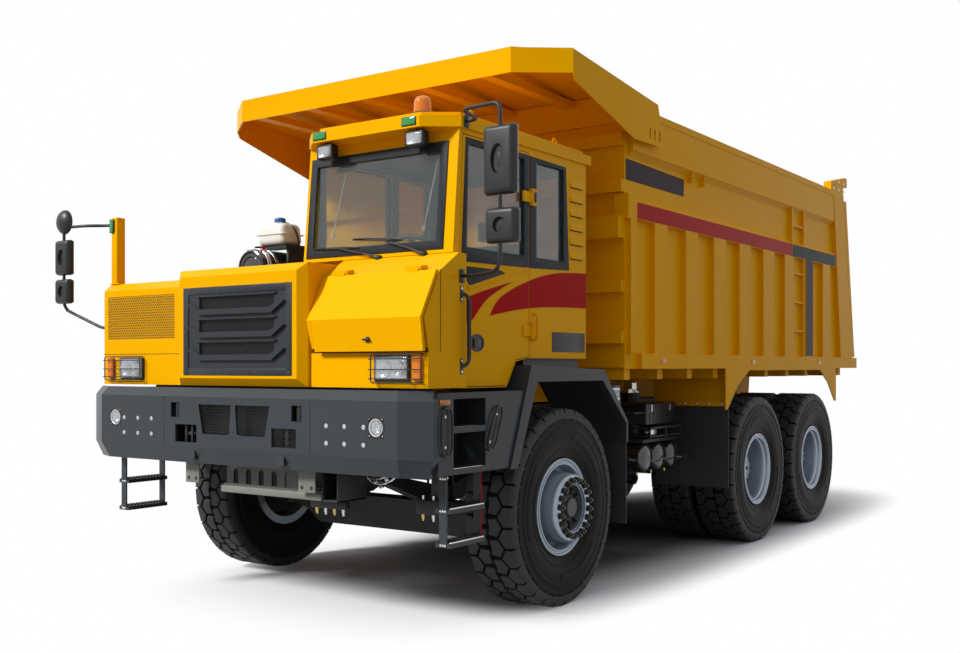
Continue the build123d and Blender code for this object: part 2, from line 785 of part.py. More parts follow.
# Work lamps, marker lamps and beacon
roof_top_z = cab_roof_z + 110
with BuildPart() as roof_lamps:
    tube(upright(900, -800), roof_top_z + seat_gap, roof_top_z + 30, 85)
    tube(upright(900, -800), roof_top_z + 25, roof_top_z + 150, 68)
    for x in (460, 1250):
        block(x - 75, x + 75, -1430, -1360, cab_roof_z - 95, cab_roof_z - 8)
        block(x - 12, x + 12, -1405, -1385, cab_roof_z - 20, cab_roof_z)
    tube(upright(mirror_post_x, mirror_post_back + 50),
         mirror_post_top_z + seat_gap, mirror_post_top_z + 35, 30)
keep(roof_lamps, "roof_lamps")

# Mirrors: tall and small heads on bent arms
mirror_plan = (
    # low x, high x, distance aft, bottom, top
    (1985, 2235, -1550, 2862, 3305),
    (2000, 2250, -1550, 2565, 2790),
    (-2250, -2045, -1700, 2560, 2860),
    (-2250, -2045, -1700, 2325, 2535),
)
mirror_arms = (
    # across, distance aft, height
    ((1625.5, -1230, 3440), (1720, -1230, 3440), (1800, -1512, 3440), (2110, -1512, 3440),
     (2110, -1512, 2450), (2060, -1512, 2400), (1760, -1345, 2400), (1670.5, -1345, 2400)),
    ((-1645.5, -1560, 2960), (-1750, -1560, 2960), (-1900, -1662, 2960), (-2150, -1662, 2960),
     (-2150, -1662, 2290), (-2080, -1662, 2250), (-1760, -1600, 2120), (-1650.5, -1600, 2120)),
)
with BuildPart() as mirrors:
    for low_x, high_x, back, low, high in mirror_plan:
        with BuildSketch(Plane.XZ.offset(-aft(back + 35))) as head:
            with Locations(((low_x + high_x) / 2, (low + high) / 2)):
                Rectangle(high_x - low_x, high - low)
            chamfer(head.vertices(), 22)
        extrude(head.sketch, amount=30)
        with BuildSketch(Plane.XZ.offset(-aft(back + 6))) as shell:
            with Locations(((low_x + high_x) / 2, (low + high) / 2)):
                Rectangle(high_x - low_x, high - low)
            chamfer(shell.vertices(), 22)
        extrude(shell.sketch, amount=44, taper=28)
    for points in mirror_arms:
        tube_along(points, 14)
keep(mirrors, "mirrors")

# Air cleaner lying along the deck and the coolant tank above it
cleaner_x = -420
cleaner_z = 2570
with BuildPart() as air_cleaner:
    body = ((-1250, 120), (-1215, 150), (-1200, 150), (-1199, 158), (-1160, 158), (-1159, 150), (-520, 150))
    sided(lengthways(cleaner_x, cleaner_z), body, flats=drum_sides)
    block(cleaner_x - 130, cleaner_x + 130, -1120, -1070, tunnel_high_z + seat_gap, cleaner_z - 60)
    block(cleaner_x - 130, cleaner_x + 130, -720, -670, tunnel_high_z + seat_gap, cleaner_z - 60)
keep(air_cleaner, "air_cleaner")

with BuildPart() as coolant_tank:
    tube(upright(cleaner_x + 30, -900), 2760, 2930, 125)
    tube(upright(cleaner_x + 30, -900), 2920, 2990, 45)
    block(cleaner_x - 120, cleaner_x + 170, -1010, -790, 2740, 2762)
    block(cleaner_x + 180, cleaner_x + 200, -1010, -790, tunnel_high_z + seat_gap, 2762)
    block(cleaner_x + 165, cleaner_x + 185, -1010, -790, 2740, 2762)
keep(coolant_tank, "coolant_tank")

# Front wings: a folded arch over each steered wheel
wing_inner_x = 1050
wing_outer_x = 1720
wing_outline = (
    # distance aft, height, up the front, over the top and down the back
    (-840, 1100),
    (-570, 1820),
    (500, 1785),
    (905, 1360),
    (905, 1190),
)
wing_under = (
    (880, 1190),
    (880, 1345),
    (480, 1700),
    (-490, 1700),
    (-745, 1100),
)
wing_skin = 8


def wing_front(height):
    """How far aft the wing's sloping front lies at a height."""
    (low_back, low_z), (high_back, high_z) = wing_outline[:2]
    return low_back + (high_back - low_back) * (height - low_z) / (high_z - low_z)


with BuildPart() as front_wings:
    side_plate(wing_outline + wing_under, wing_outer_x - 60, wing_outer_x)
    shell_under = (
        (905 - wing_skin, 1190),
        (905 - wing_skin, 1360 - 3),
        (497, 1785 - wing_skin),
        (-565, 1820 - wing_skin),
        (-840 + wing_skin + 1, 1100),
    )
    side_plate(wing_outline + shell_under, wing_inner_x, wing_outer_x - 59)
    mirror(about=Plane.YZ)
keep(front_wings, "front_wings")

# Rubber flaps behind the front wheels
with BuildPart() as mud_flaps:
    block(wing_inner_x + 20, wing_outer_x - 20, 905 + seat_gap, 915, 520, 1340)
    mirror(about=Plane.YZ)
keep(mud_flaps, "mud_flaps")

# Step boxes between bumper and wing, with two wells, and the ladders under them
step_front_back = -1640 + seat_gap
step_outer_x = 1705
step_inner_x = 1330
step_low_z = 1112
step_high_z = 1640
step_seat = 0.4
with BuildPart() as access_steps:
    box_side = (
        (step_front_back, step_low_z),
        (step_front_back, step_high_z),
        (wing_front(step_high_z) - step_seat, step_high_z),
        (wing_front(step_low_z) - step_seat, step_low_z),
    )
    side_plate(box_side, step_inner_x, step_outer_x)
    inner_side = (
        (step_front_back + 8, step_low_z - 1),
        (step_front_back + 8, step_high_z - 8),
        (wing_front(step_high_z - 8) - 10, step_high_z - 8),
        (wing_front(step_low_z - 1) - 10, step_low_z - 1),
    )
    side_plate(inner_side, step_inner_x - 1, step_outer_x - 8, Mode.SUBTRACT)
    block(step_outer_x - 20, step_outer_x + 5, -1480, -1120, 1150, 1380, Mode.SUBTRACT)
    block(step_outer_x - 20, step_outer_x + 5, -1480, -1120, 1420, 1600, Mode.SUBTRACT)
    for low in (1120, 1388):
        block(1450, step_outer_x - 7.5, -1500, -1100, low, low + 25)
        block(1450, 1458, -1500, -1100, low, low + 220)
    for back in (-1500, -1100):
        block(1450, step_outer_x - 7.5, back - 4, back + 4, 1120, 1620)
    # Hanging ladder
    for back in (-1490, -1110):
        block(1600, 1660, back - 6, back + 6, 640, 1125)
    for low in (640, 860):
        block(1570, 1690, -1494, -1106, low, low + 30)
    block(1600, 1690, -1500, -1100, 1112, 1124)
    mirror(about=Plane.YZ)
keep(access_steps, "access_steps")

# Air tanks across the truck behind the near front wheel, with a box above them
tank_radius = 142
with BuildPart() as side_tanks:
    tank_form = ((800, tank_radius - 50), (850, tank_radius), (1270, tank_radius), (1320, tank_radius - 50))
    for back in (2130, 2423, 2716):
        sided(crossways(back, 955), tank_form, flats=drum_sides)
    block(rail_outer_x + 41, 900, 2000, 2850, 1098, 1130)
    block(rail_outer_x + seat_gap, rail_outer_x + 60, 2000, 2850, 1098, 1300)
    block(rail_outer_x + 40, 1300, 2080, 2730, 1260, 1460)
    block(800, 860, 2000, 2850, 1090, 1130)
    tube(upright(1010, 1960), 1380, 1660, 78)
    block(rail_outer_x + seat_gap, 1010, 1920, 1996, 1385, 1440)
keep(side_tanks, "side_tanks")

# Fuel tank on the off side
with BuildPart() as fuel_tank:
    block(-1420, -rail_outer_x - 60, 1150, 2500, 720, 1380)
    for back in (1400, 2250):
        block(-rail_outer_x - 61, -rail_outer_x - seat_gap, back - 40, back + 40, 1090, 1370)
    fillet(fuel_tank.edges().filter_by(Axis.Y).group_by(Axis.X)[0], radius=70)
keep(fuel_tank, "fuel_tank")

# Front axle: dropped beam, kingpin bosses and leaf springs under the rails
axle_low_z = 455
axle_high_z = 715
spring_x = 480
with BuildPart() as front_axle:
    beam = (
        (-kingpin_x + 74, 830),
        (-kingpin_x + 74, 640),
        (-900, 560),
        (-760, axle_low_z),
        (760, axle_low_z),
        (900, 560),
        (kingpin_x - 74, 640),
        (kingpin_x - 74, 830),
        (940, 800),
        (760, axle_high_z),
        (-760, axle_high_z),
        (-940, 800),
    )
    cross_plate(beam, -110, 110)
    for side_name, side in sides:
        tube(upright(side * kingpin_x, 0), 645, 850, 76)
        post(side * kingpin_x, 0, 590, 900, kingpin_radius)
        leaves = (
            (-850, 960),
            (-820, 1010),
            (0, 830),
            (820, 1010),
            (850, 960),
            (200, axle_high_z - 0.5),
            (-200, axle_high_z - 0.5),
        )
        low_x, high_x = sorted((side * (spring_x - 60), side * (spring_x + 60)))
        side_plate(leaves, low_x, high_x)
        for back in (-830, 830):
            block(low_x + 10, high_x - 10, back - 30, back + 30, 960, rail_bottom_z - seat_gap)
keep(front_axle, "front_axle")

# Knuckles: forked lugs on the kingpin, spindle and steering arm
arm_pin_radius = 20
arm_z = 590
for side_name, side in sides:
    with BuildPart() as knuckle:
        tube(upright(side * kingpin_x, 0), 856, 905, 66)
        tube(upright(side * kingpin_x, 0), 585, 639, 66)
        low_x, high_x = sorted((side * (kingpin_x + 84), side * (kingpin_x + 120)))
        block(low_x, high_x, -90, 90, 585, 905)
        for low, high in ((856, 905), (585, 639)):
            ends = sorted((side * kingpin_x, side * (kingpin_x + 100)))
            block(ends[0], ends[1], -62, 62, low, high)
        ends = sorted((side * (kingpin_x + 118), side * (front_wheel_x + 60)))
        cross_rod(ends[0], ends[1], 0, tyre_radius, spindle_radius)
        block(side * kingpin_x - 35, side * kingpin_x + 35, 0, steer_arm, arm_z - 14, arm_z + 22)
        tube(upright(side * kingpin_x, steer_arm), arm_z - 14, arm_z + 22, 37)
        post(side * kingpin_x, steer_arm, arm_z - 75, arm_z - 10, arm_pin_radius)
        post(side * kingpin_x, 0, 570, 910, kingpin_radius + bearing_gap, Mode.SUBTRACT)
    keep(knuckle, f"{side_name}_knuckle")

# Tie rod: eyes round the arms' pins
with BuildPart() as tie_rod:
    rod_z = arm_z - 50
    tube(crossways(steer_arm, rod_z), -kingpin_x + 50, kingpin_x - 50, 23)
    for side in (1, -1):
        tube(upright(side * kingpin_x, steer_arm), rod_z - 26, rod_z + 26, 35)
        ends = sorted((side * (kingpin_x - 60), side * (kingpin_x - 20)))
        block(ends[0], ends[1], steer_arm - 24, steer_arm + 24, rod_z - 24, rod_z + 24)
        post(side * kingpin_x, steer_arm, rod_z - 27, rod_z + 27, arm_pin_radius + seat_gap, Mode.SUBTRACT)
keep(tie_rod, "tie_rod")

# Tyres and rims, as (outwards from the tyre's middle, radius) pairs
half_tyre = tyre_width / 2
half_bead = 150
tyre_form = (
    (-half_bead, bead_radius),
    (-half_tyre, sidewall_radius),
    (-tread_width / 2 - 8, tyre_radius - 50),
    (-tread_width / 2 + 14, tyre_radius),
    (tread_width / 2 - 14, tyre_radius),
    (tread_width / 2 + 8, tyre_radius - 50),
    (half_tyre, sidewall_radius),
    (half_bead, bead_radius),
)
rim_base = bead_radius - seat_gap
rim_bore = rim_base - rim_wall
flange_out = half_bead + rim_flange_width + 12
rim_form = (
    (-flange_out, rim_flange_radius),
    (-half_bead - 2, rim_base),
    (half_bead + 2, rim_base),
    (flange_out, rim_flange_radius),
)


def dish(floor, way):
    """The hollow of a rim, from its floor to the edge of its outer (1) or inner (-1) flange."""
    return (
        (floor, rim_bore),
        (way * (half_bead + 8), rim_bore),
        (way * flange_out, rim_flange_radius - rim_wall),
    )


def shifted(points, step):
    """The same form, further out along the axle."""
    return [(out + step, radius) for out, radius in points]


def tyre_ring(plane, step=0):
    """One tyre whose middle lies at a step along the axle."""
    sided(plane, shifted(tyre_form, step))
    sided(plane, shifted((tyre_form[0], tyre_form[-1]), step), Mode.SUBTRACT)


front_floor = 60
drum_floor = -118
front_bell = (
    # outwards, radius, of the bell that carries the wheel nuts
    (front_floor - 1, 285),
    (112, 266),
    (front_disc_out - 22, 250),
    (front_disc_out, 242),
)
nut_ring_bore = 182
hub_recess_out = front_disc_out - 63
for side_name, side in sides:
    plane = wheel_plane(side, front_wheel_x, 0)
    with BuildPart() as front_tyre:
        tyre_ring(plane)
    keep(front_tyre, f"{side_name}_front_tyre")
    with BuildPart() as front_rim:
        sided(plane, rim_form)
        sided(plane, dish(front_floor, 1), Mode.SUBTRACT)
        sided(plane, dish(drum_floor, -1)[::-1], Mode.SUBTRACT)
        sided(plane, front_bell)
        tube(plane, hub_recess_out, front_disc_out + 1, nut_ring_bore, Mode.SUBTRACT)
        sided(plane, ((hub_recess_out - 1, 100), (front_disc_out - 30, 76)), flats=drum_sides)
        ends = sorted((side * (front_wheel_x + drum_floor - 1), side * (front_wheel_x + 75)))
        cross_rod(ends[0], ends[1], 0, tyre_radius, spindle_radius + bearing_gap, Mode.SUBTRACT)
    keep(front_rim, f"{side_name}_front_rim")

rear_floor = -112
rear_drum = (
    # outwards from the outer tyre's middle, radius, of the drum between the two rims
    (-560, 235),
    (-half_bead - 1, 250),
)
rear_hub = (
    (rear_floor - 1, 190),
    (40, 160),
    (60, 120),
)
axle_rows = (
    # name, distance aft
    ("second", second_axle_back),
    ("third", second_axle_back + tandem_spacing),
)
for row_name, back in axle_rows:
    for side_name, side in sides:
        plane = wheel_plane(side, rear_outer_wheel_x, back)
        with BuildPart() as rear_tyres:
            tyre_ring(plane)
            tyre_ring(plane, -dual_spacing)
        keep(rear_tyres, f"{side_name}_{row_name}_tyres")
        with BuildPart() as rear_rims:
            sided(plane, rim_form)
            sided(plane, dish(rear_floor, 1), Mode.SUBTRACT)
            sided(plane, shifted((rim_form[1], rim_form[2]), -dual_spacing))
            sided(plane, rear_drum)
            sided(plane, rear_hub, flats=drum_sides)
            ends = sorted((side * (rear_outer_wheel_x - 640), side * (rear_outer_wheel_x - 300)))
            cross_rod(ends[0], ends[1], back, tyre_radius, axle_tube_radius + bearing_gap, Mode.SUBTRACT)
        keep(rear_rims, f"{side_name}_{row_name}_rims")

# Rear axles: tubes with a banjo housing in the middle, and the shafts that drive them
axle_form = (
    (-rear_outer_wheel_x + 302, axle_tube_radius),
    (-300, axle_tube_radius),
    (-130, 240),
    (130, 240),
    (300, axle_tube_radius),
    (rear_outer_wheel_x - 302, axle_tube_radius),
)
middle = second_axle_back + tandem_spacing / 2
with BuildPart() as rear_axles:
    for row_name, back in axle_rows:
        sided(crossways(back, tyre_radius), axle_form[1:5], flats=drum_sides)
        for side_name, side in sides:
            low_x, high_x = sorted((side * 299, side * (rear_outer_wheel_x - 302)))
            cross_rod(low_x, high_x, back, tyre_radius, axle_tube_radius)
keep(rear_axles, "rear_axles")

with BuildPart() as drive_shafts:
    housing_reach = 240 + seat_gap
    tube(lengthways(0, tyre_radius + 60), second_axle_back + housing_reach,
         second_axle_back + tandem_spacing - housing_reach, 60)
    tube(lengthways(0, tyre_radius + 60), 820, second_axle_back - housing_reach, 60)
keep(drive_shafts, "drive_shafts")

# Suspension of the rear axles: leaf packs on a trunnion across the frame
with BuildPart() as rear_springs:
    for side_name, side in sides:
        low_x, high_x = sorted((side * 560, side * 690))
        leaf_foot_z = tyre_radius + axle_tube_radius + seat_gap
        leaves = (
            (second_axle_back - 160, leaf_foot_z),
            (second_axle_back + 150, leaf_foot_z),
            (middle, 760),
            (second_axle_back + tandem_spacing - 150, leaf_foot_z),
            (second_axle_back + tandem_spacing + 160, leaf_foot_z),
            (middle + 300, 1010),
            (middle - 300, 1010),
        )
        side_plate(leaves, low_x, high_x)
        low_x, high_x = sorted((side * (rail_outer_x + seat_gap), side * 700))
        block(low_x, high_x, middle - 170, middle + 170, 840, 1360)
    tube(crossways(middle, 965), -600, 600, 90)
keep(rear_springs, "rear_springs")

# Hoists: pairs of barrels and four stages that stand beside the rails
stage_foot_z = hoist_foot_z + 80
barrel_top_z = hoist_head_z - 150
hoist_axis = upright(hoist_x, hoist_back)
with BuildPart() as hoist_barrels:
    tube(hoist_axis, hoist_foot_z + 55, barrel_top_z, hoist_radii[0])
    tube(hoist_axis, hoist_foot_z + 75, barrel_top_z + 5, hoist_radii[1] + seat_gap, Mode.SUBTRACT)
    tube(crossways(hoist_back, hoist_foot_z), hoist_x - 55, hoist_x + 55, 65)
    block(hoist_x - 55, hoist_x + 55, hoist_back - 60, hoist_back + 60, hoist_foot_z, hoist_foot_z + 60)
    cross_rod(hoist_x - 60, hoist_x + 60, hoist_back, hoist_foot_z, hoist_pin_radius + 0.5, Mode.SUBTRACT)
    mirror(about=Plane.YZ)
keep(hoist_barrels, "hoist_barrels")

hoist_eye_half = 48
hoist_eye_radius = 50
for number, radius in enumerate(hoist_radii[1:], start=1):
    top_z = barrel_top_z + number * 9
    with BuildPart() as stage:
        tube(hoist_axis, stage_foot_z + (number - 1) * 12, top_z, radius)
        if number < len(hoist_radii) - 1:
            inner = hoist_radii[number + 1] + seat_gap
            tube(hoist_axis, stage_foot_z + number * 12 - 4, top_z + 5, inner, Mode.SUBTRACT)
        else:
            block(hoist_x - hoist_eye_half, hoist_x + hoist_eye_half, hoist_back - hoist_eye_radius,
                  hoist_back + hoist_eye_radius, top_z - 1, hoist_head_z)
            tube(crossways(hoist_back, hoist_head_z),
                 hoist_x - hoist_eye_half, hoist_x + hoist_eye_half, hoist_eye_radius)
        mirror(about=Plane.YZ)
    keep(stage, f"hoist_stage_{number}")

# Tipping body: floor, sides, front wall, ribs, rails, posts and skirts
bed_outer_x = bed_half + bed_proud
floor_plate = 16
bed_rail_rear_back = gate_foot_back + 180
band_rear_back = gate_top_back - 310
side_wall = (
    # distance aft, height
    (bed_front_back, bed_rail_bottom_z),
    (gate_foot_back - running_gap, bed_rail_bottom_z),
    (gate_foot_back - running_gap, gate_foot_z),
    (gate_top_back - running_gap, bed_top_z),
    (bed_front_back, bed_top_z),
)
rear_post = (
    (6270, bed_top_z),
    (6550, bed_rail_top_z),
    (gate_foot_back - running_gap, bed_rail_top_z),
    (gate_foot_back - running_gap, gate_foot_z),
    (gate_top_back - running_gap, bed_top_z),
)
rib_rows = (
    # distance aft of each rib's front edge, its length
    (900, 100),
    (1340, 250),
    (1970, 270),
    (2605, 285),
    (3240, 300),
    (3895, 320),
    (4540, 290),
    (5240, 245),
    (5850, 270),
)
flap_back = 2985
skirt = (
    (2890, bed_rail_bottom_z + 1),
    (2890, 1390),
    (2930, 1390),
    (3200, 1620),
    (3500, 1770),
    (5740, 1770),
    (6040, 1620),
    (6300, 1390),
    (6355, 1390),
    (6355, bed_rail_bottom_z + 1),
)
gate_pin_back = 6740
gate_pin_z = 4110
gate_pin_radius = 30
pin_bracket = (
    # distance aft, height
    (6160, bed_top_z - 30),
    (6630, bed_top_z - 30),
    (6650, 4050),
    (6800, 4060),
    (6800, 4170),
    (6690, 4170),
    (6160, 4060),
)
with BuildPart() as bed_body:
    block(-bed_half, bed_half, bed_front_back, gate_foot_back - running_gap,
          bed_floor_z, bed_floor_z + floor_plate)
    block(-bed_half, bed_half, bed_front_back, bed_front_back + bed_plate, bed_floor_z, bed_top_z - 60)
    for low in (2000, 2420, 3240, 3620):
        block(-bed_half, bed_half, bed_front_back - 60, bed_front_back + 1, low, low + 100)
    block(-bed_half, bed_half, bed_front_back - 110, bed_front_back + 1, 2860, 3040)
    with BuildPart(mode=Mode.PRIVATE) as near_side:
        side_plate(side_wall, bed_half - bed_plate, bed_half)
        block(bed_half - 1, bed_outer_x, bed_front_back + 220, bed_rail_rear_back,
              bed_rail_bottom_z, bed_rail_top_z)
        band = (
            (bed_half - 1, band_bottom_z),
            (bed_outer_x, band_bottom_z),
            (bed_outer_x, band_top_z - 30),
            (bed_half - 1, band_top_z + 20),
        )
        cross_plate(band, bed_front_back + 100, band_rear_back)
        block(bed_half - 80, bed_outer_x + 2, bed_front_back - 30, bed_front_back + 126,
              band_bottom_z - 10, band_top_z + 25)
        upper = (
            (bed_half - 1, upper_low_z - 50),
            (bed_outer_x - 5, upper_low_z),
            (bed_outer_x - 5, bed_top_z),
            (bed_half - 1, bed_top_z),
        )
        cross_plate(upper, bed_front_back + 70, band_rear_back - 50)
        block(bed_half - 1, bed_outer_x, bed_front_back + 70, band_rear_back - 40, bed_top_z - 60, bed_top_z)
        for back in (2120, 2400):
            block(bed_half - 1, bed_outer_x - 6, back - 6, back + 6, upper_low_z - 110, upper_low_z + 1)
        for back, length in rib_rows:
            block(bed_half - 1, bed_outer_x, back, back + length, bed_rail_top_z - 1, band_bottom_z + 1)
        side_plate(rear_post, bed_half - 1, bed_outer_x)
        side_plate(skirt, bed_outer_x - bed_plate, bed_outer_x)
        block(950, bed_outer_x - 1, flap_back + 9.5, flap_back + 21, 1440, bed_rail_bottom_z + 20)
        side_plate(pin_bracket, bed_half - 40, bed_outer_x)
        cross_rod(bed_half - 105, bed_half - 39, gate_pin_back, gate_pin_z, gate_pin_radius)
    add(near_side.part)
    mirror(near_side.part, about=Plane.YZ)
    # Ladder up the near side, between the ribs and the black leg
    for low, high in ((bed_rail_top_z - 1, band_bottom_z + 1), (band_top_z - 40, upper_low_z + 1)):
        block(bed_half - 1, bed_outer_x - 8, ladder_far_back - 40, ladder_far_back, low, high)
    block(bed_half - 1, bed_outer_x - 8, ladder_near_back - 40, ladder_near_back,
          band_top_z - 40, upper_low_z + 1)
    for z in ladder_rungs:
        cross = ((ladder_near_back - 20, z - 12), (ladder_near_back - 20, z + 12),
                 (ladder_far_back - 20, z + 12), (ladder_far_back - 20, z - 12))
        side_plate(cross, bed_outer_x - 40, bed_outer_x - 16)
keep(bed_body, "bed_body")

# Canopy over the cab
canopy_plate = 12
canopy_side = (
    (-120, canopy_top_z - 10),
    (1300, bed_top_z + 60),
    (1410, 3700),
    (1300, 3670),
    (870, 3660),
    (-90, 3930),
    (-120, canopy_lip_z),
)
with BuildPart() as canopy:
    top_outline = (
        (-canopy_half, canopy_front_back),
        (canopy_half, canopy_front_back),
        (canopy_side_x, -120),
        (canopy_side_x, bed_front_back + 420),
        (-canopy_side_x, bed_front_back + 420),
        (-canopy_side_x, -120),
    )
    sloped = (
        (canopy_front_back - 10, canopy_top_z),
        (bed_front_back + 430, bed_top_z + 60),
        (bed_front_back + 430, bed_top_z + 60 - canopy_plate),
        (canopy_front_back - 10, canopy_top_z - canopy_plate),
    )
    side_plate(sloped, -canopy_side_x, canopy_side_x)
    plan_plate(top_outline, 3500, 4300, Mode.INTERSECT)
    for side_name, side in sides:
        ends = sorted((side * (canopy_side_x - canopy_plate), side * canopy_side_x))
        side_plate(canopy_side, ends[0], ends[1])
        for back in (1150, 1240, 1330):
            block(ends[0] - 1, ends[1] + 1, back - 12, back + 12, 3710, 3800, Mode.SUBTRACT)
    plan_plate((
        (-canopy_half, canopy_front_back),
        (canopy_half, canopy_front_back),
        (canopy_side_x, -120),
        (canopy_side_x - canopy_plate, -110),
        (canopy_half - 6, canopy_front_back + canopy_plate),
        (-canopy_half + 6, canopy_front_back + canopy_plate),
        (-canopy_side_x + canopy_plate, -110),
        (-canopy_side_x, -120),
    ), canopy_lip_z, canopy_top_z - 6)
    for x in (-1200, -600, 0, 600, 1200):
        block(x - 50, x + 50, canopy_front_back + 6, bed_front_back - 1,
              canopy_top_z - 190, canopy_top_z - 140)
        block(x - 50, x + 50, canopy_front_back + 6, bed_front_back - 1, canopy_top_z - 145, bed_top_z + 75)
    block(-bed_half - 2, bed_half + 2, bed_front_back - 30, bed_front_back - seat_gap,
          bed_top_z - 150, bed_top_z + 80)
    for side_name, side in sides:
        ends = sorted((side * (bed_outer_x + seat_gap), side * (canopy_side_x - 1)))
        block(ends[0], ends[1], 960, 1110, 3720, 3800)
keep(canopy, "canopy")

# Frame under the body: two long beams with bearers across them
bearer_rows = (960, 1580, 2200, 2800, 3520, 4160, 4800, 5440, 6080, 6700)
bearer_low_z = 1700
bearer_high_z = bed_floor_z - seat_gap
beam_half = 45
beam_x = 455
beam_low_z = 1480
beam_rear_back = 6350
with BuildPart() as bed_underframe:
    for side_name, side in sides:
        low_x, high_x = sorted((side * (beam_x - beam_half), side * (beam_x + beam_half)))
        block(low_x, high_x, 900, beam_rear_back, beam_low_z, bearer_high_z)
        low_x, high_x = sorted((side * (beam_x + beam_half + seat_gap), side * (bed_half - 20)))
        for back in bearer_rows[:-1]:
            block(low_x, high_x, back - 50, back + 50, bearer_low_z, bearer_high_z)
    inner_x = beam_x - beam_half - seat_gap
    for back in bearer_rows[:-1]:
        block(-inner_x, inner_x, back - 50, back + 50, bearer_low_z, bearer_high_z)
    last = bearer_rows[-1]
    block(-bed_half + 20, bed_half - 20, last - 50, last + 50, bearer_low_z, bearer_high_z)
keep(bed_underframe, "bed_underframe")

# Hinge lugs at the tail, beside the beams, and the brackets that the hoists push on
bracket_plate_z = bed_floor_z - 14
cheek_gap = 6
with BuildPart() as bed_brackets:
    for side_name, side in sides:
        low_x, high_x = sorted((side * (rail_outer_x + 6), side * (rail_outer_x + 66)))
        lug = (
            (tip_pin_back - 100, tip_pin_z - 60),
            (tip_pin_back - 60, tip_pin_z - 95),
            (tip_pin_back + 60, tip_pin_z - 95),
            (tip_pin_back + 100, tip_pin_z - 60),
            (tip_pin_back + 160, bearer_low_z - seat_gap),
            (tip_pin_back - 500, bearer_low_z - seat_gap),
        )
        side_plate(lug, low_x, high_x)
        cross_rod(low_x - 5, high_x + 5, tip_pin_back, tip_pin_z, tip_pin_radius + 0.5, Mode.SUBTRACT)
    # Over each hoist, two cheeks with the ends of its pin, under a plate below the floor
    for side_name, side in sides:
        head = (
            (hoist_back - 60, hoist_head_z - 50),
            (hoist_back + 60, hoist_head_z - 50),
            (hoist_back + 100, bracket_plate_z + 1),
            (hoist_back - 100, bracket_plate_z + 1),
        )
        inner_reach = hoist_eye_half + cheek_gap
        for near, far in ((-inner_reach - 30, -inner_reach), (inner_reach, inner_reach + 30)):
            low_x, high_x = sorted((side * (hoist_x + near), side * (hoist_x + far)))
            side_plate(head, low_x, high_x)
        for near, far in ((-inner_reach - 48, -inner_reach - 29), (inner_reach + 29, inner_reach + 48)):
            low_x, high_x = sorted((side * (hoist_x + near), side * (hoist_x + far)))
            tube(crossways(hoist_back, hoist_head_z), low_x, high_x, hoist_pin_radius)
        low_x, high_x = sorted((side * (beam_x + beam_half + seat_gap), side * (hoist_x + 100)))
        block(low_x, high_x, hoist_back - 140, hoist_back + 140, bracket_plate_z, bed_floor_z - seat_gap)
keep(bed_brackets, "bed_brackets")

# Rubber flaps that hang from the body ahead of the rear wheels
with BuildPart() as bed_flaps:
    block(960, bed_outer_x - 14, flap_back, flap_back + 9, 620, 1700)
    mirror(about=Plane.YZ)
keep(bed_flaps, "bed_flaps")

# Tailgate hung from the pins at the top of the rear posts
shoulder_z = 3880
with BuildPart() as tailgate:
    gate_side = (
        (gate_top_back, gate_top_z),
        (gate_top_back + gate_depth, gate_top_z),
        (gate_foot_back + gate_depth, gate_foot_z),
        (gate_foot_back, gate_foot_z),
    )
    side_plate(gate_side, -bed_outer_x, bed_outer_x)
    for side_name, side in sides:
        ends = sorted((side * (bed_half - 110), side * (bed_outer_x + 1)))
        block(ends[0], ends[1], gate_top_back - 20, gate_foot_back,
              shoulder_z, gate_top_z + 1, Mode.SUBTRACT)
        arm = (
            (gate_top_back + 8, gate_top_z - 180),
            (gate_top_back + 8, gate_top_z),
            (gate_pin_back - 50, gate_pin_z + 45),
            (gate_pin_back + 50, gate_pin_z + 45),
            (gate_pin_back + 50, gate_pin_z - 40),
            (gate_top_back + gate_depth + 20, gate_top_z - 180),
        )
        ends = sorted((side * (bed_half - 115), side * (bed_half - 60)))
        side_plate(arm, ends[0], ends[1])
        cross_rod(ends[0] - 1, ends[1] + 1, gate_pin_back, gate_pin_z, gate_pin_radius + 0.5, Mode.SUBTRACT)
keep(tailgate, "tailgate")
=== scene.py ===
# %% [markdown]
# # A wide-body mining dump truck
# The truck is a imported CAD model: a frame of fixed solids that already sit where they belong.
# This lesson dresses that frame. It loads it, sets the camera, then makes paints and rubber,
# and then adds the pieces that give a truck its look: tread blocks, wheel nuts, meshes, lamps,
# wipers, mirrors, stripes and the seat. Everything is in metres.

# %% Load the frame
import json
import math

import bmesh
import bpy
from mathutils import Matrix, Vector


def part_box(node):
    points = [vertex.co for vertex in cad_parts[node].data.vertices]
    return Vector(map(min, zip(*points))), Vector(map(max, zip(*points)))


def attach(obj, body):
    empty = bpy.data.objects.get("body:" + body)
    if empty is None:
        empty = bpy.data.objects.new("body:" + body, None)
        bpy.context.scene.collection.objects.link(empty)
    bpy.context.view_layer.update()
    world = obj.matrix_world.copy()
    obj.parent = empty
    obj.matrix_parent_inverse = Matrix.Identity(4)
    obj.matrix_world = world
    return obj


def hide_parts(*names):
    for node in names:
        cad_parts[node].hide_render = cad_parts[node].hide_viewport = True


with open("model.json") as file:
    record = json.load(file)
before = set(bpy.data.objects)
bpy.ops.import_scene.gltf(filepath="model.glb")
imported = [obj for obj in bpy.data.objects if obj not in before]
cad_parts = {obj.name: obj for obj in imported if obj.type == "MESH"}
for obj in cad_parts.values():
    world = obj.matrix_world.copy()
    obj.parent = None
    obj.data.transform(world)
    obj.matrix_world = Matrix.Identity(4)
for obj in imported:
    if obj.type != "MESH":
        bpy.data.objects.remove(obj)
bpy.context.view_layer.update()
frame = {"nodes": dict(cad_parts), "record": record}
nodes = frame["nodes"]

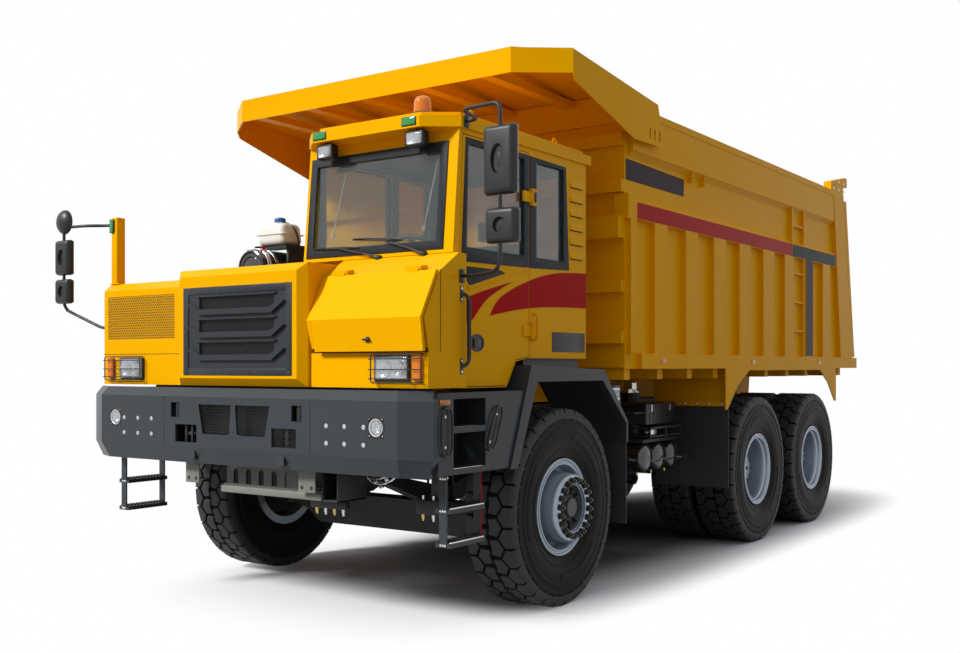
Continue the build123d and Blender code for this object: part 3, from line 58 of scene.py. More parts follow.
# %% [markdown]
# ## Places along the truck
# The drawing of the truck counts lengths backwards from the front axle, and so does every piece
# below: its Y is a length behind the axle, and it moves to its final place when it is dressed.
# The other values are the truck's own main sizes, which later cells share.

# %% Shared sizes
joints = {joint["name"]: joint for joint in frame["record"]["behaviour"]["joints"]}
front_axle_y = joints["steer"]["pos_m"][1]
tyre_radius = 0.7475
front_wheel_x = 1.454
rear_wheel_x = 1.535
dual_spacing = 0.48
second_axle_aft = 3.814
third_axle_aft = 5.543
bed_rib_x = 1.75
truck_sides = (("left", 1), ("right", -1))


def node_box(name):
    """A node's lowest and highest corner, with Y counted from the front axle."""
    return [Vector(corner) - Vector((0, front_axle_y, 0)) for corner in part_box(name)]


# %% [markdown]
# ## Camera
# The photograph was taken from the height of a standing person, ahead of the truck and off its
# near corner, with a level camera. The lens and the small upward shift come from the vanishing
# lines of the body and the ellipses of the wheels.

# %% Camera
photo_width = 960
photo_height = 653
focal_pixels = 1088
horizon_pixel = 366.4
scene = bpy.context.scene
lens = bpy.data.cameras.new("photo_lens")
lens.sensor_width = 36
lens.lens = focal_pixels / photo_width * lens.sensor_width
lens.shift_y = (horizon_pixel - photo_height / 2) / photo_width
lens.clip_end = 200
camera = bpy.data.objects.new("photo_camera", lens)
camera.location = (5.856, front_axle_y - 7.091, 1.81)
camera.rotation_euler = (math.radians(90), 0, math.radians(35.1))
scene.collection.objects.link(camera)
scene.camera = camera
scene.view_settings.view_transform = "Standard"
print("lens", round(lens.lens, 1), "mm, shift", round(lens.shift_y, 4))

# %% [markdown]
# ## Studio light and floor
# The photo has a strong soft light on the nose and an even pale light all round, so the long side
# is about half as bright as the front. A wide sun gives the first and the world the second.
# The world is a little darker near the ground, which gives gloss paint something to mirror.
# The camera sees plain white there.

# %% Building node trees
def add_node(tree, kind, sockets=None, **settings):
    """A shader node with these socket values and settings."""
    node = tree.nodes.new("ShaderNode" + kind)
    for setting, value in settings.items():
        setattr(node, setting, value)
    for socket, value in (sockets or {}).items():
        node.inputs[socket].default_value = value
    return node


def wire(tree, *runs):
    """Links each run's output of one node to an input of another."""
    for source, output, target, socket in runs:
        tree.links.new(source.outputs[output], target.inputs[socket])


def plain_view(tree):
    """A node with 1 for rays that show the background: seen directly, mirrored or through glass."""
    rays = add_node(tree, "LightPath")
    seen, output = rays, "Is Camera Ray"
    for kind in ("Is Glossy Ray", "Is Transmission Ray"):
        either = add_node(tree, "Math", operation="MAXIMUM")
        wire(tree, (seen, output, either, 0), (rays, kind, either, 1))
        seen, output = either, 0
    return seen


# %% Light
sun_data = bpy.data.lights.new("key_sun", "SUN")
sun_data.energy = 3.6
sun_data.angle = math.radians(14)
sun = bpy.data.objects.new("key_sun", sun_data)
sun.rotation_euler = Vector((-0.46, -0.74, 0.62)).to_track_quat("Z", "Y").to_euler()
scene.collection.objects.link(sun)

world = bpy.data.worlds.new("pale_studio")
scene.world = world
world.use_nodes = True
sky = world.node_tree
sky.nodes.clear()
sky_place = add_node(sky, "TexCoord")
sky_height = add_node(sky, "SeparateXYZ")
sky_ramp = add_node(sky, "ValToRGB")
ramp = sky_ramp.color_ramp
ramp.elements[0].color = (0.14, 0.14, 0.15, 1)
ramp.elements[1].position = 0.75
ramp.elements[1].color = (0.54, 0.556, 0.583, 1)
ramp.elements.new(0.12).color = (0.355, 0.36, 0.377, 1)
sky_light = add_node(sky, "Background")
white_view = add_node(sky, "Background", {"Color": (1, 1, 1, 1)})
sky_mix = add_node(sky, "MixShader")
wire(
    sky,
    (sky_place, "Generated", sky_height, 0), (sky_height, "Z", sky_ramp, "Fac"),
    (sky_ramp, "Color", sky_light, "Color"), (plain_view(sky), 0, sky_mix, 0),
    (sky_light, 0, sky_mix, 1), (white_view, 0, sky_mix, 2),
    (sky_mix, 0, add_node(sky, "OutputWorld"), "Surface"),
)

# %% [markdown]
# The floor is one large pale sheet. The camera sees it nearly white with the truck's shadow on it.
# To light that bounces off it, it is a darker ground, as in the yard where the photo was taken,
# so the underside stays deep. Outside a long rounded patch round the truck it turns into plain
# white by a soft ramp on its own coordinates, so no edge of the floor shows. Right under the truck
# a painted shadow darkens the floor's own colour, added to the shadow the sun casts.

# %% Floor
bpy.ops.mesh.primitive_grid_add(x_subdivisions=8, y_subdivisions=8, size=160, location=(0, 0, 0))
floor = bpy.context.object
floor.name = "studio_floor"
floor_paint = bpy.data.materials.new("pale_floor")
floor_paint.use_nodes = True
tree = floor_paint.node_tree
tree.nodes.clear()
place = add_node(tree, "TexCoord")
centred = add_node(tree, "Mapping", {"Location": (-0.04, -0.18, 0), "Scale": (0.45, 0.167, 1)})
squared = add_node(tree, "VectorMath", operation="MULTIPLY")
distance = add_node(tree, "VectorMath", operation="LENGTH")
fade = add_node(tree, "MapRange", {"From Min": 0.5, "From Max": 1.0}, interpolation_type="SMOOTHSTEP")
# Painted shadow: a second ramp on the same distance darkens the floor's colour under the truck, from 0.93
# down to 0.12.
shade = add_node(tree, "MapRange", {"From Min": 0.15, "From Max": 0.58}, interpolation_type="SMOOTHSTEP")
tone = add_node(tree, "Mix", data_type="RGBA")
tone.inputs["A"].default_value = (0.12, 0.12, 0.12, 1)
tone.inputs["B"].default_value = (0.93, 0.93, 0.94, 1)
matte = add_node(tree, "BsdfDiffuse")
ground = add_node(tree, "BsdfDiffuse", {"Color": (0.26, 0.25, 0.23, 1)})
seen_floor = add_node(tree, "MixShader")
floor_mix = add_node(tree, "MixShader")
wire(
    tree,
    (place, "Object", centred, "Vector"), (centred, "Vector", squared, 0),
    (centred, "Vector", squared, 1), (squared, "Vector", distance, 0),
    (distance, "Value", fade, "Value"), (fade, "Result", seen_floor, 0),
    (distance, "Value", shade, "Value"), (shade, "Result", tone, "Factor"),
    (tone, "Result", matte, "Color"), (matte, 0, seen_floor, 1),
    (add_node(tree, "Emission"), 0, seen_floor, 2), (plain_view(tree), 0, floor_mix, 0),
    (ground, 0, floor_mix, 1), (seen_floor, 0, floor_mix, 2),
    (floor_mix, 0, add_node(tree, "OutputMaterial"), "Surface"),
)
floor.data.materials.append(floor_paint)

# %% [markdown]
# ## Finishes
# A real finish is never one flat colour. Sprayed paint has a slow drift in tone, a faint orange
# peel and a clear gloss. Rubber is matt and a little dusty. One helper builds such a finish:
# two colours blended by a slow noise, a roughness that wanders, and a fine bump. Each finish then
# names its own values.

# %% A helper for finishes
def finish(
    name, colour, drift, drift_size, rough, bump_size, bump_height,
    metallic=0.0, coat=0.0, coat_rough=0.08, gloss=0.5, gloss_tint=(1, 1, 1),
):
    """A surface with drifting colour, wandering roughness and a fine bump, on Object coordinates."""
    material = bpy.data.materials.new(name)
    material.use_nodes = True
    tree = material.node_tree
    shader = tree.nodes["Principled BSDF"]
    place = add_node(tree, "TexCoord")
    slow = add_node(tree, "TexNoise", {"Scale": 1 / drift_size, "Detail": 6})
    blend = add_node(tree, "Mix", data_type="RGBA")
    blend.inputs["A"].default_value = (*colour, 1)
    blend.inputs["B"].default_value = (*drift, 1)
    wander = add_node(tree, "MapRange", {"To Min": rough[0], "To Max": rough[1]})
    fine = add_node(tree, "TexNoise", {"Scale": 1 / bump_size, "Detail": 3})
    bump = add_node(tree, "Bump", {"Distance": bump_height, "Strength": 1})
    wire(
        tree,
        (place, "Object", slow, "Vector"), (place, "Object", fine, "Vector"),
        (slow, "Fac", blend, "Factor"), (slow, "Fac", wander, "Value"),
        (blend, "Result", shader, "Base Color"), (wander, "Result", shader, "Roughness"),
        (fine, "Fac", bump, "Height"), (bump, "Normal", shader, "Normal"),
    )
    for socket, value in (
        ("Metallic", metallic), ("Coat Weight", coat), ("Coat Roughness", coat_rough),
        ("Specular IOR Level", gloss), ("Specular Tint", (*gloss_tint, 1)),
    ):
        shader.inputs[socket].default_value = value
    return material


# %% [markdown]
# Body paint is a warm yellow under a clear gloss. Big welded panels are never flat, so a second,
# very long and low bump makes what they mirror wave a little, as on the real body.

# %% Yellow body paint
def add_long_waves(material, length, height):
    """A slow ripple under the fine bump, as welding leaves in large plates."""
    tree = material.node_tree
    fine_bump = tree.nodes["Principled BSDF"].inputs["Normal"].links[0].from_node
    place = next(n for n in tree.nodes if n.type == "TEX_COORD")
    ripple = add_node(tree, "TexNoise", {"Scale": 1 / length, "Detail": 1})
    slow_bump = add_node(tree, "Bump", {"Distance": height})
    wire(
        tree,
        (place, "Object", ripple, "Vector"), (ripple, "Fac", slow_bump, "Height"),
        (slow_bump, "Normal", fine_bump, "Normal"),
    )


yellow = finish(
    "yellow_paint", (0.9, 0.435, 0.0), (0.82, 0.385, 0.0), 1.6, (0.3, 0.4), 0.006, 0.00012,
    gloss=0.04, gloss_tint=(1, 0.72, 0.1),
)
add_long_waves(yellow, 0.55, 0.01)
cab_yellow = finish(
    "cab_yellow_paint", (0.92, 0.445, 0.0), (0.86, 0.405, 0.0), 0.9, (0.28, 0.36), 0.006, 0.0001,
    gloss=0.07, gloss_tint=(1, 0.72, 0.1),
)

# %% [markdown]
# The bumper, steps and wings are a dark slate grey, glossier than the frame. The frame, axles and
# brackets are sprayed black and gather a little dust, so their second colour is paler and browner.

# %% Dark paints and bare metals
slate = finish(
    "slate_paint", (0.044, 0.051, 0.058), (0.034, 0.04, 0.047), 0.7, (0.28, 0.4), 0.005, 0.00012,
    coat=0.02, coat_rough=0.1, gloss=0.2,
)
frame_black = finish(
    "frame_black_paint", (0.011, 0.012, 0.013), (0.022, 0.021, 0.02), 0.5, (0.38, 0.58), 0.004, 0.0003,
    coat=0.04, coat_rough=0.3, gloss=0.3,
)
cast_black = finish(
    "cast_black_paint", (0.014, 0.014, 0.015), (0.028, 0.026, 0.023), 0.25, (0.5, 0.75), 0.006, 0.0012,
    gloss=0.4,
)
zinc_grey = finish(
    "primer_grey_paint", (0.085, 0.09, 0.08), (0.06, 0.064, 0.056), 0.3, (0.45, 0.6), 0.004, 0.0003,
)
zinc_plate = finish(
    "zinc_plate_finish", (0.23, 0.23, 0.2), (0.17, 0.17, 0.145), 0.2, (0.4, 0.55), 0.004, 0.0003,
    gloss=0.4,
)
wheel_silver = finish(
    "wheel_silver_paint", (0.36, 0.42, 0.5), (0.28, 0.33, 0.4), 0.4, (0.26, 0.4), 0.003, 0.0002,
    metallic=0.55, coat=0.5, coat_rough=0.08,
)
bright_steel = finish(
    "bright_steel", (0.62, 0.62, 0.63), (0.5, 0.5, 0.51), 0.2, (0.18, 0.32), 0.002, 0.0001,
    metallic=1.0,
)
dark_bolt = finish(
    "dark_bolt_steel", (0.03, 0.031, 0.034), (0.06, 0.058, 0.055), 0.08, (0.35, 0.5), 0.002, 0.0002,
    metallic=0.4,
)
brass = finish(
    "yellow_zinc_plate", (0.62, 0.44, 0.16), (0.5, 0.34, 0.12), 0.05, (0.25, 0.4), 0.002, 0.0001,
    metallic=0.9,
)

# %% [markdown]
# Tyre rubber is nearly black. The tread is a shade bluer and the sidewall a shade browner, from
# the mould oil and dust of a new tyre. Moulded plastic is finer grained.

# %% Rubber, plastic and cloth
tread_rubber = finish(
    "tread_rubber", (0.018, 0.02, 0.022), (0.027, 0.029, 0.03), 0.2, (0.55, 0.72), 0.003, 0.0005,
    gloss=0.3,
)
sidewall_rubber = finish(
    "sidewall_rubber", (0.009, 0.0083, 0.0075), (0.014, 0.013, 0.0115), 0.35, (0.46, 0.6), 0.003, 0.0003,
    gloss=0.08,
)
# Near black. It colours the dark seams between panels, and it is painted shade on the tyres' groove floors,
# in the louvre mouths and behind the cooler fins.
seam_black_and_painted_shade = finish(
    "seam_black_and_painted_shade", (0.002, 0.002, 0.0023), (0.004, 0.004, 0.004), 0.2, (0.7, 0.85), 0.004, 0.0006,
    gloss=0.1,
)
sheet_rubber = finish(
    "sheet_rubber", (0.012, 0.012, 0.013), (0.02, 0.019, 0.018), 0.5, (0.55, 0.75), 0.004, 0.0004,
)
black_plastic = finish(
    "grained_black_plastic", (0.009, 0.0095, 0.0105), (0.013, 0.0135, 0.0145), 0.2, (0.32, 0.45),
    0.0015, 0.0002, gloss=0.35,
)
tank_gloss = finish(
    "air_tank_gloss", (0.016, 0.018, 0.02), (0.026, 0.026, 0.026), 0.3, (0.1, 0.18), 0.004, 0.0001,
    coat=0.6, coat_rough=0.04,
)
grille_plastic = finish(
    "grille_plastic", (0.024, 0.027, 0.031), (0.03, 0.033, 0.037), 0.3, (0.34, 0.46), 0.0015, 0.00015,
    gloss=0.2,
)
trim_plastic = finish(
    "cab_trim_plastic", (0.1, 0.105, 0.11), (0.13, 0.13, 0.13), 0.3, (0.5, 0.65), 0.002, 0.0002,
)
seat_cloth = finish(
    "seat_cloth", (0.035, 0.037, 0.042), (0.055, 0.057, 0.062), 0.05, (0.8, 0.95), 0.0012, 0.0006,
)
tank_white = finish(
    "tank_white_plastic", (0.74, 0.75, 0.7), (0.66, 0.67, 0.6), 0.15, (0.35, 0.5), 0.002, 0.0001,
)
cap_blue = finish(
    "cap_blue_plastic", (0.02, 0.12, 0.42), (0.02, 0.1, 0.34), 0.05, (0.3, 0.4), 0.002, 0.0001,
)
band_red = finish(
    "band_red_film", (0.47, 0.004, 0.005), (0.41, 0.003, 0.004), 0.6, (0.3, 0.4), 0.006, 0.0001,
    gloss=0.05, gloss_tint=(1, 0.18, 0.14),
)
band_black = finish(
    "band_black_film", (0.012, 0.012, 0.01), (0.018, 0.017, 0.014), 0.6, (0.3, 0.4), 0.006, 0.0001,
    gloss=0.05,
)
band_violet = finish(
    "band_dark_film", (0.034, 0.015, 0.022), (0.044, 0.022, 0.03), 0.6, (0.3, 0.42), 0.006, 0.0001,
    gloss=0.05,
)
seal_rubber = finish(
    "window_seal_rubber", (0.009, 0.012, 0.016), (0.013, 0.016, 0.02), 0.2, (0.5, 0.6), 0.002, 0.0002,
    gloss=0.2,
)

# %% [markdown]
# Glass lets light through and mirrors more at a grazing angle. Cab glass is tinted a little green.
# Lamp glass is clear, and a marker lamp's lens is coloured all the way through.

# %% Glass and lenses
def clear_finish(name, tint, rough, through, ior=1.45, ripple=0.0004, alpha=1.0):
    """A see-through finish with a faint ripple."""
    material = finish(name, tint, tuple(0.9 * c for c in tint), 0.4, (rough, rough + 0.03), 0.05, ripple)
    shader = material.node_tree.nodes["Principled BSDF"]
    shader.inputs["Transmission Weight"].default_value = through
    shader.inputs["IOR"].default_value = ior
    shader.inputs["Alpha"].default_value = alpha
    return material


cab_tint = clear_finish("cab_glass_tint", (0.66, 0.74, 0.74), 0.015, 0.96, ripple=0.0002)
lamp_clear = clear_finish("lamp_clear_lens", (0.92, 0.94, 0.95), 0.03, 0.9, ripple=0.002)
lamp_amber = clear_finish("lamp_amber_lens", (0.95, 0.28, 0.01), 0.08, 0.35, ripple=0.002)
lamp_green = clear_finish("lamp_green_lens", (0.05, 0.45, 0.12), 0.08, 0.35, ripple=0.002)


# %% [markdown]
# ## Dressing the frame
# Most of the truck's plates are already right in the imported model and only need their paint.
# A table gives every node its finish. Nodes that later cells replace with finer pieces get one too,
# so nothing ever shows the importer's grey.

# %% Give every node its finish
finish_rows = (
    (yellow, "engine_hood cooler_housing mirror_post engine_cover bed_brackets bed_body canopy "
             "bed_underframe tailgate"),
    (cab_yellow, "cab_shell cab_roof cab_door cab_nose front_hatch"),
    (slate, "front_bumper front_wings access_steps"),
    (frame_black, "chassis_frame headlamps side_tanks fuel_tank hoist_barrels hoist_feet"),
    (cast_black, "engine_block front_axle left_knuckle right_knuckle tie_rod rear_axles "
                 "drive_shafts rear_springs"),
    (black_plastic, "roof_lamps mirrors air_cleaner"),
    (zinc_grey, "radiator_guard"), (grille_plastic, "grille"), (cab_tint, "cab_glass door_glass"),
    (trim_plastic, "cab_interior"), (tank_white, "coolant_tank"), (seat_cloth, "driver_seat"),
    (sheet_rubber, "mud_flaps bed_flaps"),
)
node_finishes = {name: material for material, names in finish_rows for name in names.split()}
for name, node in nodes.items():
    other = sidewall_rubber if "tyre" in name else wheel_silver if "rim" in name else bright_steel
    for socket in node.material_slots:
        socket.material = node_finishes.get(name, other)
print("dressed", len(nodes), "nodes")

# %% [markdown]
# ## Working by hand, in code
# The next pieces are modelled the way you would at the screen: add a primitive, go into edit mode,
# select some faces, extrude or bevel them, and apply a modifier. An operator works on whatever is
# selected, and the freshly loaded frame is selected, so every step starts by selecting nothing.

# %% Selecting
def calm():
    """Object mode, with nothing selected."""
    if bpy.context.object and bpy.context.object.mode != "OBJECT":
        bpy.ops.object.mode_set(mode="OBJECT")
    bpy.ops.object.select_all(action="DESELECT")


def only(piece):
    """Selects this piece alone and makes it active."""
    calm()
    piece.select_set(True)
    bpy.context.view_layer.objects.active = piece


def edit_all(piece):
    """Edit mode, with all of the piece selected."""
    only(piece)
    bpy.ops.object.mode_set(mode="EDIT")
    bpy.ops.mesh.select_all(action="SELECT")


def face_out():
    """Turns every normal outwards and goes back to object mode."""
    bpy.ops.mesh.select_all(action="SELECT")
    bpy.ops.mesh.normals_make_consistent(inside=False)
    calm()


def choose(piece, test):
    """Edit mode, with the faces selected whose centre and normal pass the test."""
    edit_all(piece)
    bpy.ops.mesh.select_mode(type="FACE")
    bpy.ops.mesh.select_all(action="DESELECT")
    shape = bmesh.from_edit_mesh(piece.data)
    for face in shape.faces:
        face.select = test(face.calc_center_median(), face.normal)
    shape.select_flush_mode()
    bmesh.update_edit_mesh(piece.data)


def modified(piece, kind, **settings):
    """Adds a modifier with these settings and applies it."""
    only(piece)
    modifier = piece.modifiers.new(kind, kind)
    for setting, value in settings.items():
        setattr(modifier, setting, value)
    bpy.ops.object.modifier_apply(modifier=modifier.name)
    return piece


# %% [markdown]
# Every starting shape can be finished at once: its sharp edges rounded, and one paint given.

# %% Finishing a shape
def tinted(piece, material):
    """Gives the piece one finish."""
    piece.data.materials.clear()
    piece.data.materials.append(material)
    return piece


def soften(piece, width, segments=2):
    """Rounds the edges that are sharper than 30 degrees."""
    return modified(
        piece, "BEVEL", width=width, segments=segments, limit_method="ANGLE", angle_limit=math.radians(30),
    )


def finished(piece, edge, segments, paint):
    """Rounds the sharp edges if a width is given, and paints the piece if a finish is."""
    if edge:
        soften(piece, edge, segments)
    return tinted(piece, paint) if paint else piece


# %% [markdown]
# Four ways to start a piece: a box between two corners, a round bar between two points, a plate
# cut to an outline, and a profile turned round an axle like wood on a lathe.

# %% Starting shapes
turn_to = {
    "x": Matrix.Rotation(math.radians(90), 4, "Y"),
    "y": Matrix.Rotation(math.radians(-90), 4, "X"),
    "z": Matrix.Identity(4),
}
plate_maps = {
    "x": lambda a, b, depth: (depth, a, b),
    "y": lambda a, b, depth: (a, depth, b),
    "z": lambda a, b, depth: (a, b, depth),
}


def settled(name):
    """Names the active object and puts its place into its mesh."""
    piece = bpy.context.object
    piece.name = name
    only(piece)
    bpy.ops.object.transform_apply(location=True, rotation=True, scale=True)
    return piece


def add_box(name, start, end, edge=0, segments=2, paint=None):
    """A box between two opposite corners."""
    calm()
    start, end = Vector(start), Vector(end)
    bpy.ops.mesh.primitive_cube_add(size=1, location=(start + end) / 2)
    bpy.context.object.scale = [abs(length) for length in end - start]
    return finished(settled(name), edge, segments, paint)


def add_bar(name, start, end, radius, sides=20, end_radius=None, edge=0, paint=None):
    """A round bar between two points, or a cone if its end has another radius."""
    calm()
    start, end = Vector(start), Vector(end)
    bpy.ops.mesh.primitive_cone_add(
        vertices=sides, radius1=radius, radius2=radius if end_radius is None else end_radius,
        depth=(end - start).length,
    )
    bpy.context.object.rotation_euler = (end - start).to_track_quat("Z", "Y").to_euler()
    bpy.context.object.location = (start + end) / 2
    return finished(settled(name), edge, 2, paint)


def add_plate(name, outline, axis, low, high, edge=0, segments=2, paint=None):
    """A plate cut to this outline, thick along the axis from low to high."""
    calm()
    bpy.ops.mesh.primitive_circle_add(vertices=len(outline), radius=1, fill_type="NGON")
    piece = bpy.context.object
    piece.name = name
    low, high = sorted((low, high))
    place = plate_maps[axis]
    for corner, (a, b) in zip(piece.data.vertices, outline):
        corner.co = place(a, b, low)
    edit_all(piece)
    bpy.ops.mesh.extrude_region_move(TRANSFORM_OT_translate={"value": place(0, 0, high - low)})
    face_out()
    return finished(piece, edge, segments, paint)


def add_line(name, points, closed):
    """Bare points joined by edges, ready to be spun or given thickness."""
    shape = bpy.data.meshes.new(name)
    count = len(points)
    edges = [(n, (n + 1) % count) for n in range(count if closed else count - 1)]
    shape.from_pydata([tuple(point) for point in points], edges, [])
    piece = bpy.data.objects.new(name, shape)
    bpy.context.scene.collection.objects.link(piece)
    edit_all(piece)
    return piece


def add_turned(name, profile, centre, axis, sides=48, closed=True, paint=None):
    """A profile of (radius, distance along) pairs turned round an axis through the centre."""
    piece = add_line(name, [(radius, 0, along) for radius, along in profile], closed)
    bpy.ops.mesh.spin(steps=sides, angle=math.tau, center=(0, 0, 0), axis=(0, 0, 1))
    bpy.ops.mesh.select_all(action="SELECT")
    bpy.ops.mesh.remove_doubles(threshold=0.00005)
    face_out()
    piece.data.transform(Matrix.Translation(centre) @ turn_to[axis])
    return finished(piece, 0, 0, paint)


# %% [markdown]
# Handrails, pipes and wires are bent tube. Their line starts as straight runs. Bevelling its
# corners with a vertex bevel rounds them, and turning the line into a curve gives it thickness.

# %% Bent tube
def add_tube(name, points, radius, bend=0.03, sides=4, steps=4, loop=False, paint=None):
    """A tube along straight runs whose corners are rounded by a bend radius."""
    add_line(name, points, loop)
    if len(points) > 2 and bend:
        bpy.ops.mesh.bevel(offset=bend, offset_type="OFFSET", segments=steps, affect="VERTICES")
    bpy.ops.object.mode_set(mode="OBJECT")
    bpy.ops.object.convert(target="CURVE")
    piece = bpy.context.object
    piece.data.bevel_depth = radius
    piece.data.bevel_resolution = sides // 2
    piece.data.use_fill_caps = not loop
    bpy.ops.object.convert(target="MESH")
    return finished(bpy.context.object, 0, 0, paint)


# %% [markdown]
# Finishing steps: copy a piece to many places, mirror it to the other side of the truck, cut it by
# a plane or with a tool, and join several into one.

# %% Finishing steps
across = Matrix.Diagonal((-1, 1, 1, 1))


def copied(piece, move):
    """A copy with its own mesh, moved by a matrix or a vector."""
    other = piece.copy()
    other.data = piece.data.copy()
    bpy.context.scene.collection.objects.link(other)
    move = move if isinstance(move, Matrix) else Matrix.Translation(move)
    other.data.transform(move)
    if move.determinant() < 0:
        edit_all(other)
        bpy.ops.mesh.flip_normals()
        calm()
    return other


def joined(name, pieces):
    """Several pieces as one object, which keeps their materials."""
    calm()
    for piece in pieces:
        piece.select_set(True)
    bpy.context.view_layer.objects.active = pieces[0]
    if len(pieces) > 1:
        bpy.ops.object.join()
    pieces[0].name = name
    return pieces[0]


def repeat(piece, moves):
    """The piece at each of these moves, as one object. The piece itself is used up."""
    name = piece.name
    copies = [copied(piece, move) for move in moves]
    bpy.data.objects.remove(piece)
    return joined(name, copies)


def ring_turns(count, shift=0.0):
    """The turns that spread a part evenly round the X axis."""
    return [Matrix.Rotation((n + shift) * math.tau / count, 4, "X") for n in range(count)]


def sliced(piece, point, normal):
    """Cuts away what lies on the side that the normal points to, and closes the cut."""
    edit_all(piece)
    bpy.ops.mesh.bisect(plane_co=point, plane_no=normal, clear_outer=True, use_fill=True)
    calm()
    return piece


def cut(piece, tool):
    """Takes the tool's space out of the piece, and removes the tool."""
    modified(piece, "BOOLEAN", operation="DIFFERENCE", solver="EXACT", object=tool)
    bpy.data.objects.remove(tool)
    return piece


def sunk(piece, test, rim, move):
    """Insets the faces that pass the test by a rim and moves them, which sinks a pocket."""
    choose(piece, test)
    bpy.ops.mesh.inset(thickness=rim)
    bpy.ops.mesh.extrude_region_move(TRANSFORM_OT_translate={"value": move})
    calm()
    return piece


def tapered(piece, test, scale, centre):
    """Scales the faces that pass the test about a centre."""
    choose(piece, test)
    bpy.ops.transform.resize(value=scale, center_override=centre)
    calm()
    return piece


def dress(piece, body, material=None, angle=32):
    """Moves the piece from the front axle to its place, smooths it, and hangs it on its body."""
    if material:
        tinted(piece, material)
    piece.data.transform(Matrix.Translation((0, front_axle_y, 0)))
    only(piece)
    bpy.ops.object.shade_smooth_by_angle(angle=math.radians(angle))
    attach(piece, body)
    return piece

# %% [markdown]
# ## Tyres
# Each tyre is a turned carcass with separate rubber blocks on it. Looking along the tread, two
# staggered columns of large hexagons run round the middle, and pentagons close the row at each
# shoulder and wrap over it. A block is modelled flat, wrapped to the tyre's curve, and then
# copied once for each pitch round the tyre.

# %% Carcass
origin = (0, 0, 0)
groove_depth = 0.024
floor_radius = tyre_radius - groove_depth
carcass_half = [
    (floor_radius, 0), (floor_radius, 0.06), (floor_radius, 0.12), (floor_radius - 0.002, 0.16),
    (floor_radius - 0.01, 0.182), (floor_radius - 0.028, 0.1945), (floor_radius - 0.052, 0.2),
    (0.655, 0.2035), (0.648, 0.2085), (0.64, 0.209), (0.632, 0.2065), (0.61, 0.2105), (0.59, 0.213),
    (0.585, 0.216), (0.576, 0.216), (0.571, 0.2135), (0.545, 0.215), (0.52, 0.215), (0.495, 0.213),
    (0.47, 0.2085), (0.452, 0.2035), (0.447, 0.206), (0.44, 0.2055), (0.436, 0.2), (0.415, 0.19),
    (0.395, 0.179), (0.38, 0.175), (0.3705, 0.169), (0.3693, 0.16), (0.323, 0.152), (0.3195, 0.149),
]
carcass_profile = [(radius, -out) for radius, out in reversed(carcass_half[1:])] + carcass_half
carcass = add_turned("tyre_carcass", carcass_profile, origin, "x", 96, paint=sidewall_rubber)
# Painted shade: the carcass faces between the tread blocks, the groove floor, get the near-black second
# finish.
carcass.data.materials.append(seam_black_and_painted_shade)
for face in carcass.data.polygons:
    if abs(face.center.x) < 0.17 and math.hypot(face.center.y, face.center.z) > 0.69:
        face.material_index = 1

# %% [markdown]
# The blocks are drawn with u across the tyre, v round it and height outwards. The wrap helper
# turns v into an angle, so a block drawn flat follows the tyre.

# %% Tread blocks
pitch_count = 30
pitch = math.tau * tyre_radius / pitch_count
main_groove = 0.019
block_foot = -groove_depth - 0.003
hexagon = [
    (0.006, -0.056), (0.078, -0.066), (0.117, 0), (0.078, 0.066), (0.006, 0.056), (0.019, 0),
]


def wrapped(piece):
    """Wraps a block drawn flat round the tyre: y becomes an angle and z a height on the tread."""
    for corner in piece.data.vertices:
        u, v, height = corner.co
        angle = v / tyre_radius
        reach = tyre_radius + height
        corner.co = (u, -reach * math.sin(angle), reach * math.cos(angle))
    return piece


tread_blocks = []
for side, step in ((1, 0), (-1, pitch / 2)):
    outline = [(side * u, v + step) for u, v in hexagon][::side]
    block = add_plate("tread_hexagon", outline, "z", block_foot, 0)
    choose(block, lambda centre, normal: normal.z < -0.9)
    middle = sum((Vector((u, v, 0)) for u, v in outline), Vector()) / len(outline)
    bpy.ops.transform.resize(value=(1.06, 1.06, 1), center_override=middle)
    bpy.ops.mesh.delete(type="ONLY_FACE")
    calm()
    tread_blocks.append(wrapped(soften(block, 0.0035, 1)))

# %% [markdown]
# A shoulder block starts as the tread's cross-section at the edge: flat on top, rounded down the
# shoulder. It is extruded to its width and then two cuts make the point that fits between two
# hexagons. Short side lugs between the blocks are the notches you see from the side.

# %% Shoulder blocks
shoulder_section = [
    (0.094, block_foot), (0.094, 0), (0.184, 0), (0.196, -0.01), (0.2035, -0.036),
    (0.2075, -0.066), (0.206, -0.078), (0.19, -0.072), (0.176, -groove_depth - 0.01),
]
shoulder_half = pitch / 2 - main_groove / 2
lug_section = [
    (0.186, -0.04), (0.198, -0.03), (0.2045, -0.048), (0.2085, -0.076), (0.208, -0.094), (0.196, -0.09),
]
slope = Vector((-0.068, 0.041, 0)).normalized()
for side, step in ((1, pitch / 2), (-1, 0)):
    block = add_plate("shoulder_block", shoulder_section, "y", -shoulder_half, shoulder_half)
    for way in (1, -1):
        sliced(block, (0.135, way * shoulder_half, 0), (slope.x, way * slope.y, 0))
    soften(block, 0.0035, 1)
    lug = add_plate("shoulder_lug", lug_section, "y", -0.013, 0.013)
    lug.data.transform(Matrix.Translation((0, pitch / 2, 0)))
    soften(lug, 0.003, 1)
    for part in (block, lug):
        if side < 0:
            mirrored = copied(part, across)
            bpy.data.objects.remove(part)
            part = mirrored
        part.data.transform(Matrix.Translation((0, step, 0)))
        tread_blocks.append(wrapped(part))
tread = tinted(repeat(joined("tyre_tread", tread_blocks), ring_turns(pitch_count)), tread_rubber)
print("tread has", len(tread.data.polygons), "faces")

# %% [markdown]
# The side of a new tyre carries raised rings and plain raised crescents where its markings would
# be. They are left blank here. A thin ring of rubber is cut to arcs and sits proud by 2 mm.

